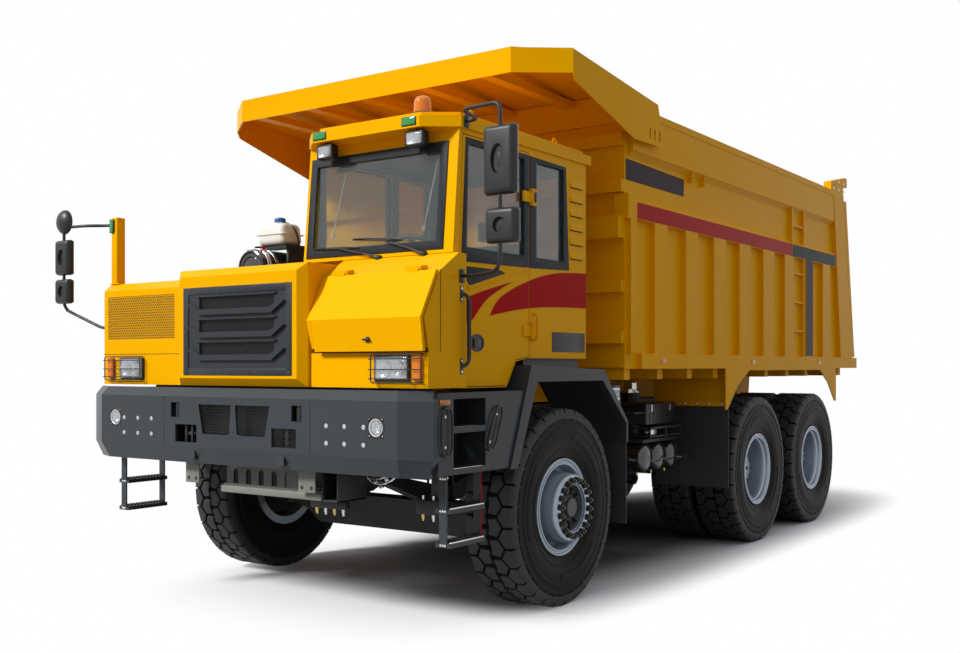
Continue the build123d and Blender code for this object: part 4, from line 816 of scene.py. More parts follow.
# %% Blank sidewall crescents
crescent_profile = [
    (0.5, 0.212), (0.5, 0.2165), (0.504, 0.2178), (0.548, 0.2178), (0.552, 0.2168), (0.552, 0.213),
]
crescent_sweep = 62
crescents = []
for start in (20, 140, 260):
    ring = add_turned("sidewall_crescent", crescent_profile, origin, "x", 120)
    choose(ring, lambda centre, normal: (
        (math.degrees(math.atan2(centre.z, centre.y)) - start) % 360 > crescent_sweep
    ))
    bpy.ops.mesh.delete(type="FACE")
    bpy.ops.mesh.select_all(action="SELECT")
    bpy.ops.mesh.fill_holes(sides=0)
    calm()
    crescents.append(ring)
outer_marks = tinted(joined("sidewall_marks", crescents), sidewall_rubber)
tyre = joined("tyre", [carcass, tread, outer_marks, copied(outer_marks, across)])
print("one tyre has", len(tyre.data.polygons), "faces")

# %% [markdown]
# A front axle end has one tyre and a rear one has a pair, and each place gets a copy that stands
# in for its CAD node.

# %% Place the tyres
axles = (
    # node and body of the axle, its length behind the front one, wheel x, steps to its tyres
    ("front_tyre", "front_rim", "front_wheel", 0, front_wheel_x, (0,)),
    ("second_tyres", "second_rims", "second_wheels", second_axle_aft, rear_wheel_x, (0, -dual_spacing)),
    ("third_tyres", "third_rims", "third_wheels", third_axle_aft, rear_wheel_x, (0, -dual_spacing)),
)
for tyre_node, rim_node, body, back, wheel_x, steps in axles:
    for side_name, side in truck_sides:
        copies = []
        for n, step in enumerate(steps):
            roll = Matrix.Rotation(math.radians(37 * n + back * 10), 4, "X")
            place = Matrix.Translation((side * (wheel_x + step), back, tyre_radius))
            copies.append(copied(tyre, place @ roll))
        group = joined(f"{side_name}_{tyre_node}_rubber", copies)
        dress(group, f"{side_name}_{body}", angle=28)
        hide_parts(f"{side_name}_{tyre_node}")
bpy.data.objects.remove(tyre)

# %% [markdown]
# ## Wheels
# The front wheels show a rolled double lip, a stepped well and a bell that carries twenty black
# nuts round a dark hub. All of that is one profile turned round the axle, as on a lathe, because
# the real rim is rolled from one strip and any section through it is the same.

# %% Front rim
front_rim_profile = [
    # radius, distance out along the axle
    (0.3, -0.184), (0.366, -0.184), (0.368, -0.176), (0.36, -0.162), (0.32, -0.149), (0.32, 0.149),
    (0.356, 0.157), (0.3675, 0.166), (0.369, 0.176), (0.366, 0.184), (0.359, 0.186), (0.352, 0.18),
    (0.346, 0.168), (0.339, 0.166), (0.333, 0.17), (0.329, 0.18), (0.322, 0.182), (0.316, 0.172),
    (0.31, 0.15), (0.304, 0.118), (0.302, 0.096), (0.296, 0.08), (0.286, 0.072), (0.279, 0.076),
    (0.274, 0.092), (0.269, 0.13), (0.263, 0.2), (0.257, 0.246), (0.252, 0.264), (0.243, 0.275),
    (0.236, 0.278), (0.19, 0.278), (0.184, 0.274), (0.182, 0.266), (0.182, 0.214), (0.176, 0.208),
    (0.174, 0.256), (0.232, 0.262), (0.244, 0.24), (0.262, 0.09), (0.274, 0.058), (0.29, 0.056),
    (0.298, 0.04), (0.304, -0.14),
]
front_rim = add_turned("front_rim_metal", front_rim_profile, origin, "x", 96, paint=wheel_silver)

# %% [markdown]
# Round hand holes go through the bell's side. Real holes would need a cut through a curved wall,
# and at this size a dark sunk disc in a rolled edge reads the same, so each one is a short plug
# laid into the wall with a thin ring round it.

# %% Hand holes and valve
holes = []
for n in range(10):
    angle = n * math.tau / 10 + 0.2
    out_way = Vector((0, math.cos(angle), math.sin(angle)))
    foot = out_way * 0.262 + Vector((0.118, 0, 0))
    holes.append(
        add_bar("hand_hole", foot, foot + out_way * 0.0095, 0.0125, 16, edge=0.001, paint=cast_black),
    )
valve_line = [(0.085, 0, -0.286), (0.115, 0, -0.286), (0.15, 0, -0.262)]
holes.append(add_tube("valve", valve_line, 0.006, 0.012, paint=brass))
holes.append(add_bar("valve_cap", (0.148, 0, -0.2625), (0.168, 0, -0.2555), 0.0085, 12, paint=black_plastic))

# %% [markdown]
# One wheel nut is a hexagon on a washer with the stud's end showing. It is modelled once and
# copied round the ring with a rotation for each.

# %% Wheel nuts
nut_radius = 0.211
nut = tinted(joined("wheel_nut", [
    add_bar("nut_washer", (0.277, 0, nut_radius), (0.283, 0, nut_radius), 0.0245, 24),
    add_bar("nut_hexagon", (0.282, 0, nut_radius), (0.312, 0, nut_radius), 0.0215, 6, edge=0.002),
    add_bar("stud_end", (0.305, 0, nut_radius), (0.326, 0, nut_radius), 0.0115, 14, edge=0.0015),
]), dark_bolt)
nuts = repeat(nut, ring_turns(20))

# %% Hub inside the nut ring
hub_profile = [
    (0, 0.196), (0.178, 0.196), (0.1805, 0.204), (0.176, 0.211), (0.118, 0.213), (0.108, 0.219),
    (0.1, 0.232), (0.094, 0.238), (0.08, 0.24), (0.076, 0.246), (0, 0.246),
]
hub_cap_profile = [
    (0, 0.24), (0.068, 0.24), (0.072, 0.244), (0.072, 0.262), (0.067, 0.268), (0.02, 0.271), (0, 0.271),
]
hub = add_turned("hub_body", hub_profile, origin, "x", paint=cast_black)
hub_cap = add_turned("hub_cap", hub_cap_profile, origin, "x", paint=zinc_grey)
rib = add_box("hub_rib", (0.205, -0.008, 0.098), (0.236, 0.008, 0.176), 0.003, paint=cast_black)
ribs = repeat(rib, ring_turns(10))
stud = add_bar("hub_bolt", (0.211, 0, 0.146), (0.228, 0, 0.146), 0.012, 6, edge=0.0015, paint=dark_bolt)
studs = repeat(stud, ring_turns(10, 0.5))

# %% [markdown]
# Behind the bell sits the brake drum, which shows between the wheel and the frame from the other
# side of the truck. It is another turned ring with cooling grooves.

# %% Brake drum
drum_profile = [
    (0.066, -0.112), (0.215, -0.112), (0.222, -0.104), (0.262, -0.1), (0.267, -0.09), (0.262, -0.08),
    (0.262, -0.066), (0.267, -0.06), (0.262, -0.054), (0.262, -0.04), (0.267, -0.034), (0.262, -0.028),
    (0.262, 0.02), (0.25, 0.04), (0.066, 0.04),
]
drum = add_turned("brake_drum", drum_profile, origin, "x", paint=cast_black)
front_wheel = joined("front_wheel", [front_rim, drum, hub, hub_cap, ribs, studs, nuts] + holes)

# %% [markdown]
# The driven wheels are deep smooth dishes behind three rolled steps, with the planetary hub at
# the bottom. The inner rim of each pair is a plain band that the outer tyre hides.

# %% Rear rims
rear_rim_profile = [
    (0.3, -0.184), (0.366, -0.184), (0.368, -0.176), (0.32, -0.149), (0.32, 0.149), (0.356, 0.157),
    (0.3675, 0.166), (0.369, 0.176), (0.366, 0.184), (0.359, 0.186), (0.352, 0.18), (0.347, 0.168),
    (0.34, 0.166), (0.334, 0.17), (0.33, 0.178), (0.324, 0.179), (0.32, 0.168), (0.317, 0.148),
    (0.31, 0.142), (0.305, 0.132), (0.302, 0.08), (0.298, -0.02), (0.288, -0.078), (0.262, -0.104),
    (0.226, -0.112), (0.196, -0.112), (0.19, -0.106), (0.184, -0.06), (0.176, -0.02), (0.16, 0.022),
    (0.138, 0.044), (0.12, 0.05), (0.06, 0.052), (0.052, 0.058), (0, 0.058), (0, -0.12),
    (0.25, -0.13), (0.25, -0.15), (0.3, -0.155),
]
inner_rim_profile = [
    (0.1205, -0.632), (0.2, -0.636), (0.29, -0.64), (0.3, -0.66), (0.366, -0.664), (0.368, -0.656),
    (0.32, -0.629), (0.32, -0.331), (0.366, -0.304), (0.366, -0.296), (0.3, -0.3), (0.25, -0.326),
    (0.246, -0.16), (0.2405, -0.155), (0.2405, -0.29), (0.1205, -0.3),
]
rear_nut = add_bar("rear_nut", (-0.114, 0, 0.226), (-0.088, 0, 0.226), 0.0195, 6, edge=0.002, paint=dark_bolt)
planet_bolt = add_bar(
    "planet_bolt", (0.04, 0, 0.146), (0.056, 0, 0.143), 0.011, 6, edge=0.0015, paint=dark_bolt,
)
rear_wheel = joined("rear_wheel", [
    add_turned("rear_rim_metal", rear_rim_profile, origin, "x", 96, paint=wheel_silver),
    add_turned("inner_rim_metal", inner_rim_profile, origin, "x", 64, paint=wheel_silver),
    repeat(planet_bolt, ring_turns(12)),
    add_bar("oil_plug", (0.055, 0, 0), (0.072, 0, 0), 0.022, 6, edge=0.002, paint=dark_bolt),
    repeat(rear_nut, ring_turns(20)),
])

# %% Place the wheels
for tyre_node, rim_node, body, back, wheel_x, steps in axles:
    wheel = front_wheel if back == 0 else rear_wheel
    for side_name, side in truck_sides:
        turn = Matrix.Rotation(math.radians(11 + back * 20), 4, "X")
        place = Matrix.Translation((side * wheel_x, back, tyre_radius))
        flip = Matrix.Identity(4) if side > 0 else across
        piece = copied(wheel, place @ flip @ turn)
        piece.name = f"{side_name}_{rim_node}_wheel"
        dress(piece, f"{side_name}_{body}", angle=30)
        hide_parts(f"{side_name}_{rim_node}")
bpy.data.objects.remove(front_wheel)
bpy.data.objects.remove(rear_wheel)

# %% [markdown]
# ## Small repeated parts
# Bolt heads and wire mesh show up all over the truck. A domed bolt is a turned profile, made once
# facing forwards and turned to face other ways by a matrix. The mesh is one hexagon, inset and
# opened in the middle, copied in offset rows like a honeycomb and then given thickness.

# %% Bolts and mesh
facing = {
    "front": Matrix.Identity(4),
    "left": Matrix.Rotation(math.radians(90), 4, "Z"),
    "right": Matrix.Rotation(math.radians(-90), 4, "Z"),
}
bolt_shape = ((0, -0.7), (0.45, -0.62), (0.8, -0.38), (0.92, -0.12), (1.25, -0.1))


def add_bolts(name, radius, places, way="front", material=None):
    """Domed bolt heads with washers at these places, all facing one way."""
    profile = [(out * radius, along * radius) for out, along in bolt_shape]
    profile += [(1.25 * radius, 0.002), (0, 0.002)]
    head = add_turned(name, profile, origin, "y", 16, paint=material or bright_steel)
    return repeat(head, [Matrix.Translation(place) @ facing[way] for place in places])


def add_honeycomb(name, low, high, y, pitch, wire, depth):
    """A sheet of hexagonal holes between two (x, z) corners, thick from y backwards."""
    calm()
    bpy.ops.mesh.primitive_circle_add(
        vertices=6, radius=pitch / math.sqrt(3), fill_type="NGON", rotation=(math.radians(90), 0, 0),
    )
    edit_all(bpy.context.object)
    bpy.ops.mesh.inset(thickness=wire / 2)
    bpy.ops.mesh.delete(type="FACE")
    calm()
    cell = settled(name)
    cell.data.transform(Matrix.Rotation(math.radians(30), 4, "Y"))
    row_step = pitch * math.sqrt(3) / 2
    columns = int((high[0] - low[0]) / pitch)
    rows = int((high[1] - low[1]) / row_step)
    row = repeat(cell, [Vector((low[0] + (n + 0.5) * pitch, y, low[1])) for n in range(columns)])
    sheet = repeat(row, [Vector(((n % 2) * pitch / 2, 0, (n + 0.5) * row_step)) for n in range(rows)])
    edit_all(sheet)
    bpy.ops.mesh.remove_doubles(threshold=0.0002)
    bpy.ops.mesh.extrude_region_move(TRANSFORM_OT_translate={"value": (0, depth, 0)})
    face_out()
    return sheet


# %% [markdown]
# ## Bumper
# The bumper is a folded steel shell, which the frame already has. What brings it to life is what
# sits in and on it: meshed vents, the towing eyes in their slots, domed bolts, and the fog lamps
# in their four-lobed clamps.

# %% Vents, seams and towing eyes
bumper_face = -1.8
bumper_inside = bumper_face + 0.0145
meshes = [
    add_honeycomb("bumper_mesh", (-0.4, 1.3), (0.42, 1.56), bumper_inside, 0.024, 0.005, 0.003),
    add_honeycomb("square_mesh", (0.372, 1.243), (0.64, 1.398), bumper_inside + 0.004, 0.024, 0.005, 0.003),
]
dress(joined("bumper_mesh", meshes), "root", frame_black)
insides = [
    add_box("bumper_backing", (-0.7, -1.702, 1.2), (0.7, -1.697, 1.585)),
    add_box("square_bar", (0.495, -1.78, 1.245), (0.53, -1.76, 1.395), 0.004),
    add_box("hook_plate", (-0.545, -1.77, 1.235), (-0.525, -1.705, 1.4), 0.003),
    add_box("hook_plate", (-0.48, -1.77, 1.235), (-0.46, -1.705, 1.4), 0.003),
    add_bar("hook_pin", (-0.56, -1.745, 1.315), (-0.445, -1.745, 1.315), 0.016),
]
for side in (1, -1):
    x = side * 0.622
    insides.append(add_bar("towing_eye", (x, -1.755, 1.4365), (x, -1.755, 1.5455), 0.0282, 32))
dress(joined("bumper_insides", insides), "root", frame_black)
seams = [
    add_box(
        "bumper_seam", (x - 0.0015, bumper_face - 0.0004, 1.224), (x + 0.0015, bumper_face + 0.004, 1.586),
    )
    for x in (-0.75, 0.75)
]
dress(joined("bumper_seams", seams), "root", seam_black_and_painted_shade)

# %% Bumper bolts
bolt_flatness = 0.2
places = [
    (side * x, bumper_face, z) for side in (1, -1)
    for x in (0.895, 1.055, 1.22) for z in (1.418, 1.303)
]
bolts = add_bolts("bumper_bolts", 0.0125, places)
for vertex in bolts.data.vertices:
    vertex.co.y = bumper_face + (vertex.co.y - bumper_face) * bolt_flatness
dress(bolts, "root")

# %% Fog lamps
fog_profiles = (
    ("fog_bowl", bright_steel, [
        (0, 0.034), (0.018, 0.031), (0.04, 0.021), (0.05, 0.01),
        (0.054, 0.01), (0.054, 0.042), (0, 0.042),
    ]),
    ("fog_bezel", bright_steel, [
        (0.0485, 0.002), (0.053, -0.0016), (0.0585, -0.0014),
        (0.0605, 0.001), (0.0605, 0.02), (0.0485, 0.018),
    ]),
    ("fog_clamp", black_plastic, [
        (0.0595, -0.0012), (0.072, -0.0012), (0.074, -0.0008), (0.074, 0.0005), (0.0595, 0.0005),
    ]),
)
fog_lens_profile = [(0, -0.0012), (0.03, 0), (0.047, 0.003), (0.05, 0.009), (0, 0.009)]
lobe_ring = 0.077
fog_parts = []
for side in (1, -1):
    centre = (side * 1.325, bumper_face, 1.418)
    for name, paint, profile in fog_profiles:
        fog_parts.append(add_turned(name, profile, centre, "y", 40, paint=paint))
    dress(add_turned("fog_lens", fog_lens_profile, centre, "y", 40), "root", lamp_clear)
    for n in range(4):
        angle = math.radians(45 + 90 * n)
        x, z = centre[0] + lobe_ring * math.cos(angle), centre[2] + lobe_ring * math.sin(angle)
        front, back = (x, bumper_face - 0.0012, z), (x, bumper_face + 0.0005, z)
        fog_parts.append(add_bar("fog_lobe", front, back, 0.0165, 24, edge=0.0004, paint=black_plastic))
        fog_parts.append(add_bolts("fog_bolt", 0.0065, [(x, bumper_face + 0.0026, z)]))
dress(joined("fog_lamps", fog_parts), "root")

# %% [markdown]
# ## Under the bumper
# The guard's arched slots show cooler fins behind them. A galvanised beam crosses below, with a
# bolted plate at each end and hangers up to the frame rails.

# %% Guard fins and beam
fin = add_box("cooler_fin", (-0.0018, -1.548, 0.952), (0.0018, -1.526, 1.078), paint=zinc_grey)
# The near-black sheet right behind the fins is painted shade.
fins = joined("guard_fins", [
    repeat(fin, [Vector((-0.318 + n * 0.0125, 0, 0)) for n in range(78)]),
    add_box("fin_painted_shade", (-0.326, -1.526, 0.95), (0.656, -1.52, 1.079), paint=seam_black_and_painted_shade),
])
dress(fins, "root")
beam_parts = [add_box("under_beam", (-0.345, -1.605, 0.884), (0.665, -1.57, 0.934), 0.006)]
places = []
for low_x, high_x in ((-0.68, -0.53), (0.495, 0.655)):
    beam_parts += [
        add_box("beam_plate", (low_x, -1.652, 0.94), (high_x, -1.641, 1.15), 0.003),
        add_box("beam_hanger", (low_x + 0.02, -1.642, 0.96), (high_x - 0.02, -1.56, 0.975), 0.003),
    ]
    places += [(x, -1.652, z) for x in (low_x + 0.035, high_x - 0.035) for z in (0.975, 1.115)]
dress(joined("under_beam", beam_parts), "root", zinc_plate)
pocket = [
    add_box("pocket_wall", (low_x, -1.6, 0.88), (high_x, -1.3, top), 0.003)
    for low_x, high_x, top in ((0.668, 0.68, 1.13), (0.806, 0.818, 1.13), (0.668, 0.818, 0.895))
]
dress(joined("tow_pocket", pocket), "root", frame_black)
dress(add_bolts("under_beam_bolts", 0.011, places, material=cast_black), "root")

# %% [markdown]
# ## Step boxes and ladders
# Each tread is a bar with rows of slanted teeth for grip, dark with worn bright edges. The teeth
# are a single leaning slat, copied along the tread.

# %% Treads
tread_rows = (
    # low x, high x, top, first tooth, last tooth, worn edge x
    (1.47, 1.69, 1.1455, -1.488, -1.112, 1.6965),
    (1.47, 1.69, 1.4135, -1.488, -1.112, 1.6965),
    (1.575, 1.684, 0.6705, -1.484, -1.116, 1.689),
    (1.575, 1.684, 0.8905, -1.484, -1.116, 1.689),
)
tooth_count = 13
teeth, worn_edges = [], []
for low_x, high_x, top, first, last, edge_x in tread_rows:
    half = (high_x - low_x) / 2
    tooth = add_box("tread_tooth", (-half, -0.003, -0.002), (half, 0.003, 0.013), 0.001, 1)
    step = (last - first) / (tooth_count - 1)
    for side in (1, -1):
        skew = Matrix.Rotation(math.radians(24 * side), 4, "Z") @ Matrix.Diagonal((0.86, 1, 1, 1))
        for n in range(tooth_count):
            place = Matrix.Translation((side * (low_x + half), first + n * step, top))
            teeth.append(copied(tooth, place @ skew))
        worn_edges.append(add_box(
            "worn_edge", (side * (edge_x - 0.012), first - 0.004, top - 0.018),
            (side * edge_x, last + 0.004, top + 0.008), 0.004, 3,
        ))
    bpy.data.objects.remove(tooth)
dress(joined("tread_teeth", teeth), "root", frame_black)
dress(joined("tread_edges", worn_edges), "root", bright_steel)

# %% Ladder bolts and reflective stripes
places, stripes = [], []
for side in (1, -1):
    places += [(side * (1.612 + 0.018 * n), -1.4965, z) for z in (0.655, 0.875, 1.085) for n in range(3)]
    stripes.append(add_box("ladder_stripe", (side * 1.6605, -1.1155, 0.68), (side * 1.6625, -1.1045, 1.1)))
dress(add_bolts("ladder_bolts", 0.0065, places), "root")
dress(joined("ladder_stripes", stripes), "root", band_red)

# %% [markdown]
# Beside the wells, oval cover plates carry a bent handle each. The handle is a closed run of
# points whose corners are rounded with a vertex bevel before it becomes tube.

# %% Handles on the step boxes
handle_rows = (
    # middle aft, middle height, half length, half height, lean of the oval
    (-1.57, 1.392, 0.046, 0.125, 0),
    (-1.03, 1.395, 0.04, 0.118, 0.055),
)
oval = ((-1, -0.62), (-0.55, -1), (0.55, -1), (1, -0.62), (1, 0.62), (0.55, 1), (-0.55, 1), (-1, 0.62))
grow = 1.22
plate_in, plate_out, handle_out = 1.704, 1.7085, 1.722
oval_parts, tube_parts, bolt_places = [], [], {"left": [], "right": []}
for side_name, side in truck_sides:
    for back, middle, half_length, half_height, slant in handle_rows:
        corners = [(back + a * half_length + slant * b, middle + b * half_height) for a, b in oval]
        oval_parts.append(add_plate(
            "oval_plate", corners, "x", side * plate_in, side * plate_out, 0.001, paint=frame_black,
        ))
        ring = [
            (side * handle_out, back + slant * b + a * half_length * grow, middle + b * half_height * grow)
            for a, b in oval
        ]
        tube_parts.append(add_tube("step_handle", ring, 0.0075, 0.02, 8, 3, loop=True))
        for b in (-1, 1):
            y, z = back + slant * b * grow, middle + b * half_height * grow
            foot = ((side * plate_in, y, z), (side * handle_out, y, z))
            tube_parts.append(add_bar("handle_foot", *foot, 0.007, 12))
            y, z = back + slant * b * 0.78, middle + b * half_height * 0.78
            bolt_places[side_name].append((side * plate_out, y, z))
dress(joined("step_cover_plates", oval_parts), "root")
dress(joined("step_handles", tube_parts), "root", frame_black)
for side_name, side in truck_sides:
    bolts = add_bolts(f"{side_name}_step_bolts", 0.0075, bolt_places[side_name], side_name)
    dress(bolts, "root")

# %% Amber marker lamps on the step boxes
marker_parts = []
for side in (1, -1):
    marker_parts += [
        add_box("marker_base", (side * 1.7045, -1.64, 1.556), (side * 1.709, -1.52, 1.604), 0.004,
                paint=black_plastic),
        add_box(
            "marker_lens", (side * 1.7045, -1.632, 1.563), (side * 1.722, -1.528, 1.597), 0.008, 3,
            lamp_amber,
        ),
    ]
dress(joined("side_markers", marker_parts), "root")
print("front pieces done")

# %% [markdown]
# ## Nose
# The moulded grille has a wire mesh behind each blade and small bolts round its rim. The cooler
# housing beside it has a perforated yellow sheet, which is the same honeycomb with wider metal
# between its holes and a dark sheet close behind.

# %% Grille mesh and bolts
hood_face = -1.775
strips, trims = [], []
for low in (1.896, 2.06, 2.225):
    strips += [
        add_honeycomb(
            "grille_mesh", (-0.4, low - 0.006), (0.41, low + 0.092), hood_face + 0.01, 0.0165, 0.0042, 0.002,
        ),
        add_box("grille_back", (-0.4, hood_face + 0.024, low - 0.008), (0.4, hood_face + 0.027, low + 0.094)),
    ]
    brow = [(-0.4, low + 0.086), (0.4, low + 0.086), (0.415, low + 0.098), (-0.415, low + 0.098)]
    trims.append(add_plate("grille_brow", brow, "y", hood_face - 0.014, hood_face + 0.004, 0.003))
dress(joined("grille_meshes", strips), "root", black_plastic)
for low_x, high_x, low_z, high_z in (
    (-0.556, -0.5, 1.745, 2.385), (0.5, 0.556, 1.745, 2.385),
    (-0.501, 0.501, 2.335, 2.385), (-0.501, 0.501, 1.745, 1.795),
):
    trims.append(add_box(
        "grille_rim", (low_x, hood_face - 0.004, low_z), (high_x, hood_face + 0.004, high_z), 0.0025,
    ))
dress(joined("grille_trims", trims), "root", grille_plastic)
places = [(x, hood_face - 0.004, z) for x in (-0.529, -0.185, 0.2, 0.529) for z in (2.362, 1.768)]
places += [(x, hood_face - 0.004, 2.065) for x in (-0.529, 0.529)]
dress(add_bolts("grille_bolts", 0.0078, places, material=dark_bolt), "root")

# %% Perforated sheet of the cooler housing
housing_face = -1.68
sheet = add_honeycomb(
    "cooler_mesh", (-1.582, 2.02), (-0.765, 2.372), housing_face + 0.0003, 0.0225, 0.0082, 0.0022,
)
dress(sheet, "root", yellow)
dark = add_box("cooler_mesh_back", (-1.58, -1.677, 2.023), (-0.773, -1.6748, 2.361))
dress(dark, "root", cast_black)
seam = add_box("housing_seam", (-1.63, -1.6806, 1.9035), (-0.6555, -1.678, 1.9075))
dress(seam, "root", seam_black_and_painted_shade)

# %% [markdown]
# ## Headlamps
# Each headlamp is a bright bowl behind a clear lens with an upright amber lamp beside it, in a
# sunk tray, with a black wire guard standing off in front. The lens stands proud with soft edges.

# %% Headlamps and guards
lamp_rows = (
    # tray low x, tray high x, white lamp low x, high x, amber low x, high x, face aft
    (1.222, 1.656, 1.246, 1.52, 1.56, 1.63, -1.704),
    (-1.576, -1.122, -1.404, -1.14, -1.56, -1.49, -1.684),
)
bowl_shape = ((0, 0.002), (0.3, 0.001), (0.62, -0.003), (0.9, -0.01), (1, -0.0105), (1, 0.004), (0, 0.004))
bulb = [(0, -0.012), (0.01, -0.01), (0.014, -0.004), (0.014, 0.001), (0, 0.001)]
trays, bowls, guards = [], [], []
for low_x, high_x, white_low, white_high, amber_low, amber_high, face in lamp_rows:
    body = add_box(
        "lamp_body", (white_low - 0.012, face - 0.014, 1.712), (white_high + 0.012, face + 0.006, 1.88),
        0.012, 3, black_plastic,
    )
    sunk(body, lambda centre, normal: normal.y < -0.95, 0.011, (0, 0.012, 0))
    trays += [
        add_box(
            "lamp_tray", (low_x - 0.02, face + 0.004, 1.696), (high_x, face + 0.016, 1.892), paint=yellow,
        ),
        body,
    ]
    middle_x = (white_low + white_high) / 2
    for x, radius in ((middle_x - 0.062, 0.058), (middle_x + 0.066, 0.05)):
        bowl = [(radius * out, along) for out, along in bowl_shape]
        bowls += [
            add_turned("lamp_bowl", bowl, (x, face, 1.796), "y", 32, paint=bright_steel),
            add_turned("lamp_bulb", bulb, (x, face, 1.796), "y", 20, paint=bright_steel),
        ]
    bowls.append(add_box(
        "lamp_reflector", (white_low, face - 0.0025, 1.723), (white_high, face + 0.003, 1.869),
        paint=bright_steel,
    ))
    lens = add_box(
        "headlamp_lens", (white_low, face - 0.026, 1.722), (white_high, face - 0.013, 1.87), 0.01, 4,
    )
    dress(lens, "root", lamp_clear)
    amber = add_box(
        "turn_lamp_lens", (amber_low, face - 0.026, 1.716), (amber_high, face + 0.005, 1.878), 0.022, 5,
    )
    dress(amber, "root", lamp_amber)
    wire_y = face - 0.04
    box_low, box_high = low_x + 0.01, high_x - 0.008
    ring = [
        (box_low, wire_y, 1.708), (box_high, wire_y, 1.708), (box_high, wire_y, 1.886),
        (box_low, wire_y, 1.886),
    ]
    guards.append(add_tube("guard_ring", ring, 0.0042, 0.014, 8, 3, loop=True))
    split = (white_high + amber_low) / 2 if low_x > 0 else (white_low + amber_high) / 2
    wires = [
        ((box_low - 0.014, wire_y - 0.004, z), (box_high + 0.006, wire_y - 0.004, z))
        for z in (1.73, 1.79, 1.858)
    ]
    wires.append(((split, wire_y, 1.708), (split, wire_y, 1.886)))
    for x in (box_low + 0.02, split, box_high - 0.02):
        wires += [((x, wire_y, z), (x, face + 0.01, z)) for z in (1.708, 1.886)]
    guards += [add_bar("guard_wire", start, end, 0.0036, 10) for start, end in wires]
dress(joined("lamp_trays", trays), "root")
dress(joined("lamp_bowls", bowls), "root")
guard = dress(joined("lamp_guards", guards), "root", frame_black)
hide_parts("headlamps")

# %% [markdown]
# The hatch over the washer and fuse box has a black turn lock, and a lever to turn it by.

# %% Hatch lock
lock_profile = [(0, -0.01), (0.014, -0.01), (0.018, -0.006), (0.02, 0.002), (0, 0.002)]
lock_parts = [
    add_turned("hatch_lock", lock_profile, (1.225, -1.7612, 1.984), "y", 24),
    add_box("hatch_lever", (1.19, -1.7812, 1.977), (1.246, -1.7692, 1.991), 0.004, 3),
]
dress(joined("hatch_lock", lock_parts), "front_hatch", black_plastic)

# %% [markdown]
# Thin dark seams show where the nose panels meet. The mirror post is a slim tube with softened
# corners, so it replaces the plain post of the frame.

# %% Panel seams and mirror post
seams = [
    add_box("nose_seam", (1.6705, -1.575, 1.905), (1.672, -1.571, 2.43)),
    add_box("nose_seam", (0.7, -1.7008, 1.9), (1.2, -1.699, 1.903)),
]
dress(joined("nose_seams", seams), "root", seam_black_and_painted_shade)
(x, y, low_z), (_, _, high_z) = node_box("mirror_post")
post = joined("slim_post", [
    add_box("slim_post", (x + 0.004, y + 0.006, low_z), (x + 0.08, y + 0.086, high_z), 0.008, 3),
    add_box("post_foot", (x - 0.002, y - 0.004, low_z), (x + 0.115, y + 0.115, low_z + 0.008), 0.003),
])
dress(post, "root", yellow)
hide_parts("mirror_post")

# %% [markdown]
# ## Cab windows
# The glass sits in wide dark rubber. A frame starts as a single face between four corners, is
# inset, opened in the middle and thickened. For frames with odd outlines, a smaller plate is cut
# out of a larger one with a Boolean modifier.

# %% Window frames
def add_frame(name, corners, width, depth):
    """A flat frame of this width between four corners, thickened along its normal."""
    calm()
    bpy.ops.mesh.primitive_plane_add(size=1)
    piece = bpy.context.object
    piece.name = name
    for corner, place in zip((0, 1, 3, 2), corners):
        piece.data.vertices[corner].co = place
    edit_all(piece)
    bpy.ops.mesh.inset(thickness=width)
    bpy.ops.mesh.delete(type="FACE")
    calm()
    modified(piece, "SOLIDIFY", thickness=depth, offset=0)
    return soften(piece, min(0.003, depth / 4))


def add_seal(name, outer, inner, low, high):
    """A flat rubber ring between two outlines, thick along x."""
    ring = cut(add_plate(name, outer, "x", low, high), add_plate("tool", inner, "x", low - 0.02, high + 0.02))
    return soften(ring, 0.0012)


def upright(low_a, high_a, low_b, high_b):
    """The outline of a plain rectangle."""
    return [(low_a, low_b), (high_a, low_b), (high_a, high_b), (low_a, high_b)]


def screen_back(height):
    """How far aft the cab's leaning front face lies at a height."""
    return -1.36 + 0.075 * (height - 2.56) / 0.835


screen = [
    (x, screen_back(z) - 0.002, z) for x, z in ((0.29, 2.586), (1.53, 2.586), (1.53, 3.312), (0.29, 3.312))
]
dress(add_frame("screen_rubber", screen, 0.062, 0.012), "root", seal_rubber)
near_x, far_x = (1.568, 1.6135), (0.2585, 0.304)
rear_outer = [(-0.429, 2.524), (0.136, 2.545), (0.09, 3.33), (-0.429, 3.338)]
rear_inner = upright(-0.333, 0.053, 2.607, 3.303)
seal_rows = (
    # name, body, x range, outer outline, inner outline
    ("door_rubber", "cab_door", near_x,
     [(-1.268, 2.507), (-0.4368, 2.524), (-0.4368, 3.34), (-1.2155, 3.34)],
     [(-1.208, 2.607), (-0.498, 2.607), (-0.498, 3.303), (-1.186, 3.303)]),
    ("left_rear_rubber", "root", near_x, rear_outer, rear_inner),
    ("right_rear_rubber", "root", far_x, rear_outer, rear_inner),
    ("off_side_rubber", "root", far_x,
     [(-1.215, 2.575), (-0.402, 2.575), (-0.402, 3.33), (-1.205, 3.33)],
     upright(-1.172, -0.438, 2.607, 3.303)),
)
for name, body, (low, high), outer, inner in seal_rows:
    dress(add_seal(name, outer, inner, low, high), body, seal_rubber)

# %% [markdown]
# The wedge under the front of the door window is a dark trim with a raised yellow lip below it.
# A dark seal closes the narrow gap behind the door, and it stays with the shell.

